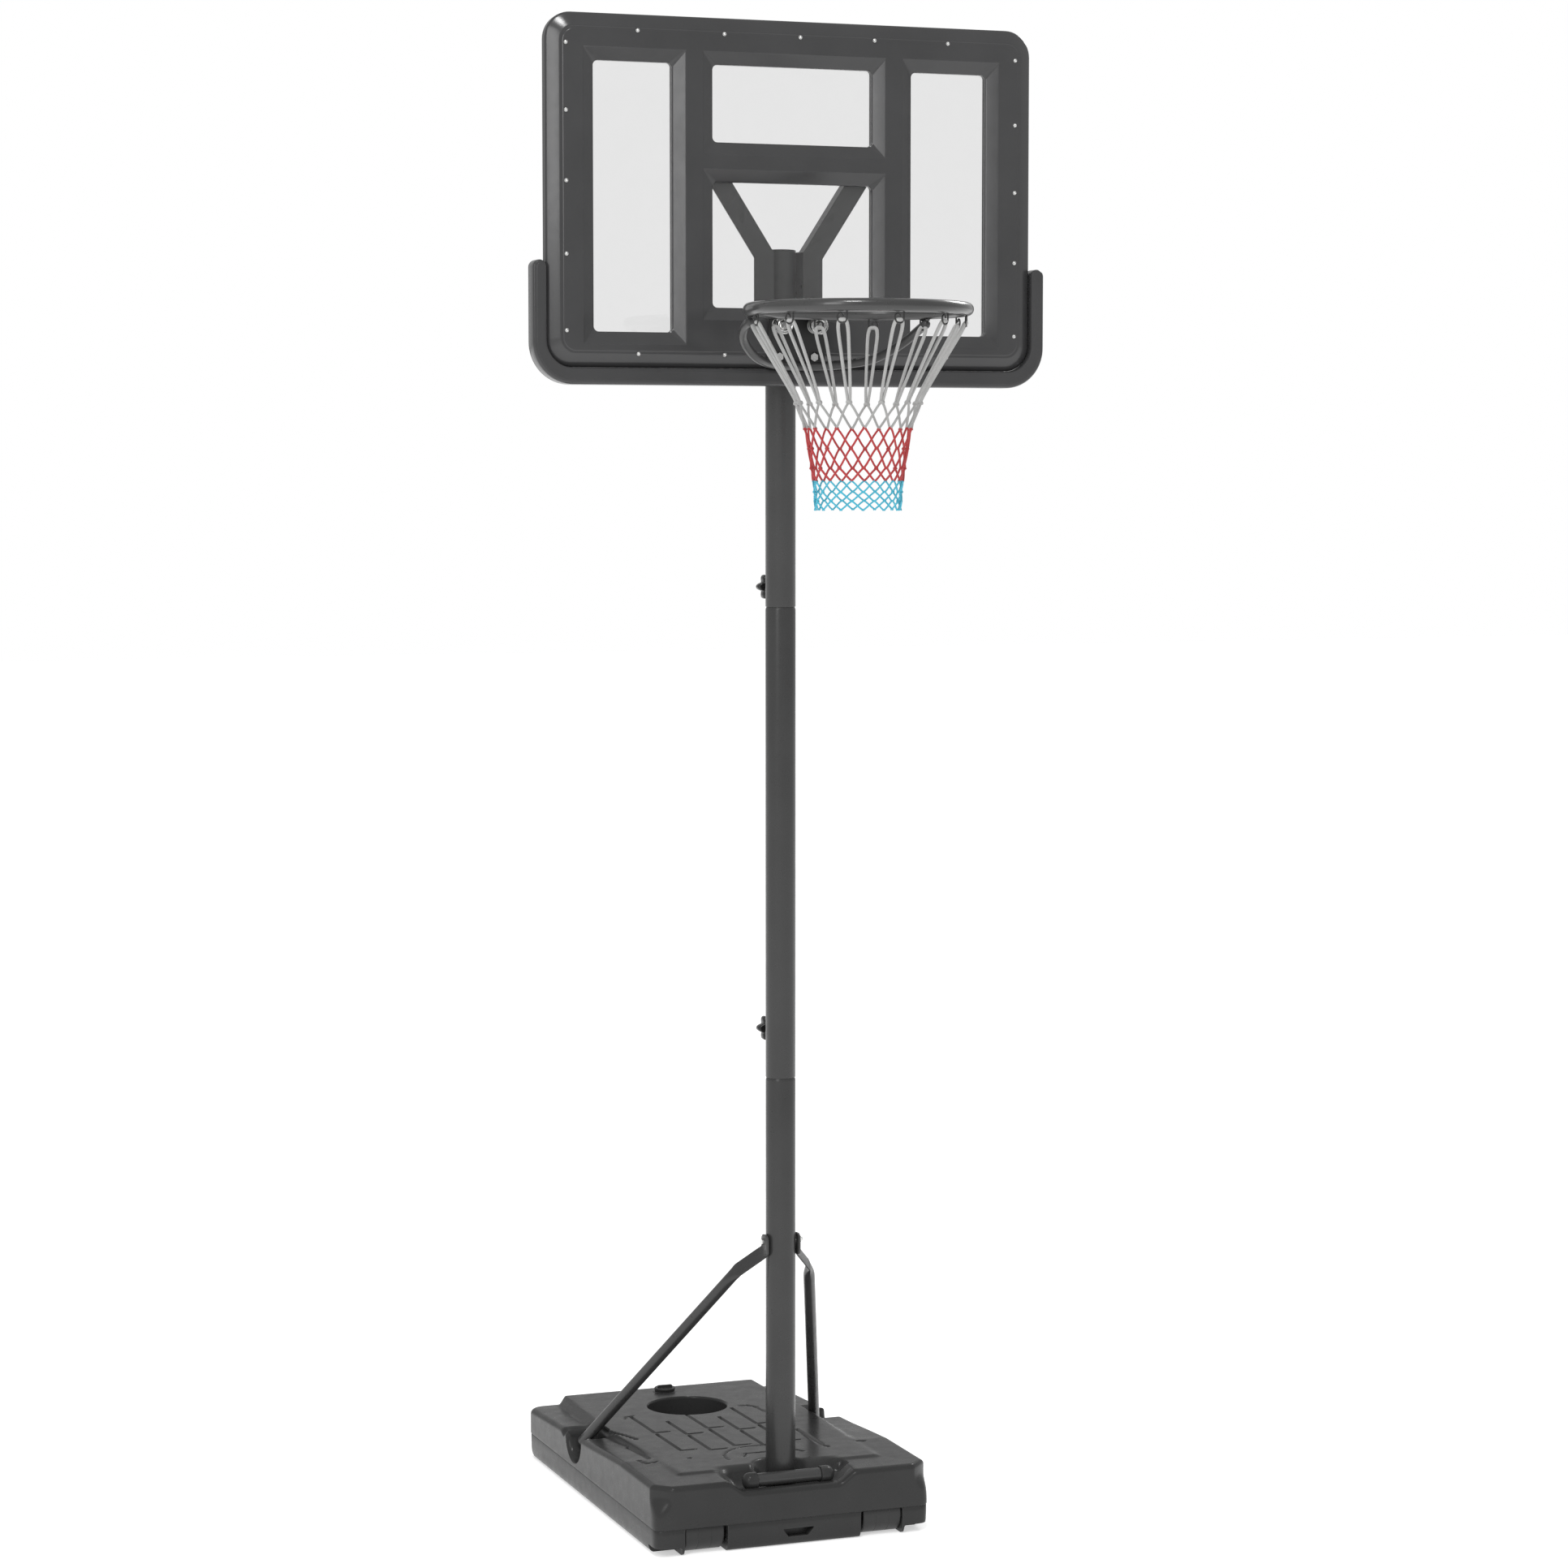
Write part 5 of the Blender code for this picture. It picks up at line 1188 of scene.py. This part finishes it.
def add_loops(bm, angle):
    """The two halves of the cord that hangs folded on a hook, and the knot below them."""
    depth, radius = NET_ROWS[0]
    route = [
        (RING_R - 0.0010, 0.0285, 0.0), (RING_R - 0.0020, 0.0283, 0.0032), (RING_R - 0.0040, 0.0305, 0.0066),
        (RING_R - 0.0075, 0.0375, 0.0088), (0.2010, 0.0520, 0.0096), (0.1800, 0.0870, 0.0080),
        (0.1560, 0.1270, 0.0060), (0.1340, 0.1650, 0.0036), (radius, depth, 0.0020),
    ]
    for side in (-1, 1):
        path = smooth_path([on_ring(angle, out, down, side * away) for out, down, away in route], 5)
        radii = [0.0042 - 0.0013 * (i / (len(path) - 1)) for i in range(len(path))]
        add_tube(bm, path, radii, 10)
    add_knot(bm, on_ring(angle, radius, depth), 0.0040)


def make_net():
    """Loops from the hooks to the first row, then rows of legs that lean half a step each way."""
    white, red, blue = bmesh.new(), bmesh.new(), bmesh.new()
    half_step = HOOK_STEP / 2
    leg_spread, knot_size, last_knot = 0.7, 1.25, 0.0019
    for angle in HOOK_ANGLES:
        add_loops(white, angle)
    for row, (bm, size) in enumerate(zip([white, red, red, red, blue, blue, blue], CORD_SIZES)):
        (d0, r0), (d1, r1) = NET_ROWS[row], NET_ROWS[row + 1]
        for hook in HOOK_ANGLES:
            angle = hook + half_step * (row % 2)
            for side in (-1, 1):
                away = size * leg_spread * side
                leg = net_leg((angle, r0 + away, d0), (angle + half_step * side, r1 - away, d1))
                add_tube(bm, leg, size, 8)
            if row:
                add_knot(bm, on_ring(angle, r0, d0 + (0.0010 if row in (1, 4) else 0.0)), size * knot_size)
    depth, radius = NET_ROWS[-1]
    for hook in HOOK_ANGLES:
        add_knot(blue, on_ring(half_step + hook, radius, depth), last_knot)
    strands = [("net_white", white, WHITE_CORD), ("net_red", red, RED_CORD), ("net_blue", blue, BLUE_CORD)]
    for name, bm, material in strands:
        replaced = ["net"] if bm is white else ()
        finish_piece(link_mesh(name, bm), material, "rim", replaced, 80.0)


# Scene

def make_stage():
    bpy.ops.mesh.primitive_plane_add(size=60.0, location=(0, 10, -0.0005))
    floor = bpy.context.object
    floor.name = "studio_floor"
    made, tree, shader = new_material("studio_floor")
    tone = noise(tree, object_coordinates(tree), 1.5, 2.0)
    plug(tree, shader, {
        "Base Color": blend_colours(tree, tone, grey(0.86), grey(0.89)),
        "Roughness": 0.85,
        "Specular IOR Level": 0.1,
        "Emission Color": grey(1.0),
        "Emission Strength": 0.5,
    })
    floor.data.materials.append(made)


def area_light(name, place, target, size, power):
    data = bpy.data.lights.new(name, "AREA")
    data.shape = "RECTANGLE"
    data.size, data.size_y = size
    data.energy = power
    made = bpy.data.objects.new(name, data)
    made.location = place
    made.rotation_euler = (Vector(target) - Vector(place)).to_track_quat("-Z", "Y").to_euler()
    made.visible_camera = False
    made.visible_transmission = False
    bpy.context.scene.collection.objects.link(made)


def make_light():
    """Three lamps, and a white world that lights less than it shows to the camera and through the panels."""
    world = bpy.data.worlds.new("studio")
    bpy.context.scene.world = world
    world.use_nodes = True
    tree = world.node_tree
    rays = tree.nodes.new("ShaderNodeLightPath").outputs
    seen = join_values(tree, "MAXIMUM", rays["Is Camera Ray"], rays["Is Transmission Ray"])
    plug(tree, tree.nodes["Background"], {
        "Color": grey(1.0),
        "Strength": spread(tree, seen, 0.62, 1.0, 0.0, 1.0),
    })
    area_light("left", (-5.7, -5.7, 5.4), (0, 0, 2.6), (2.4, 5.0), 165.0)
    area_light("high", (-1.9, -3.9, 8.6), (0, 0, 2.2), (1.4, 1.4), 190.0)
    area_light("rear", (5.0, 3.5, 6.0), (0, 0, 2.0), (1.8, 1.8), 120.0)


def make_camera():
    data = bpy.data.cameras.new("camera")
    data.lens = 88.16
    data.sensor_width = 36.0
    camera = bpy.data.objects.new("camera", data)
    camera.location = (-2.850, -7.563, 2.259)
    camera.rotation_euler = (math.radians(90 - 4.56), 0, math.radians(-20.70))
    bpy.context.scene.collection.objects.link(camera)
    bpy.context.scene.camera = camera
    bpy.context.scene.view_settings.view_transform = "Standard"


make_tank()
make_water()
make_filler_cap()
make_wheels()
make_poles()
make_foot()
make_struts()
make_knobs()
make_front_frame()
make_rear_frame()
make_trim()
make_frame_screws()
make_fasteners()
make_ring()
make_brace()
make_springs()
make_net()
# Painted shade: the rim bracket and mount plate take the darkened steel
dress("rim_bracket", SHADE_DARKENED_STEEL, 0.0008)
dress("mount_plate", SHADE_DARKENED_STEEL, 0.0006)
dress("board_panel", CLEAR)
make_stage()
make_light()
make_camera()
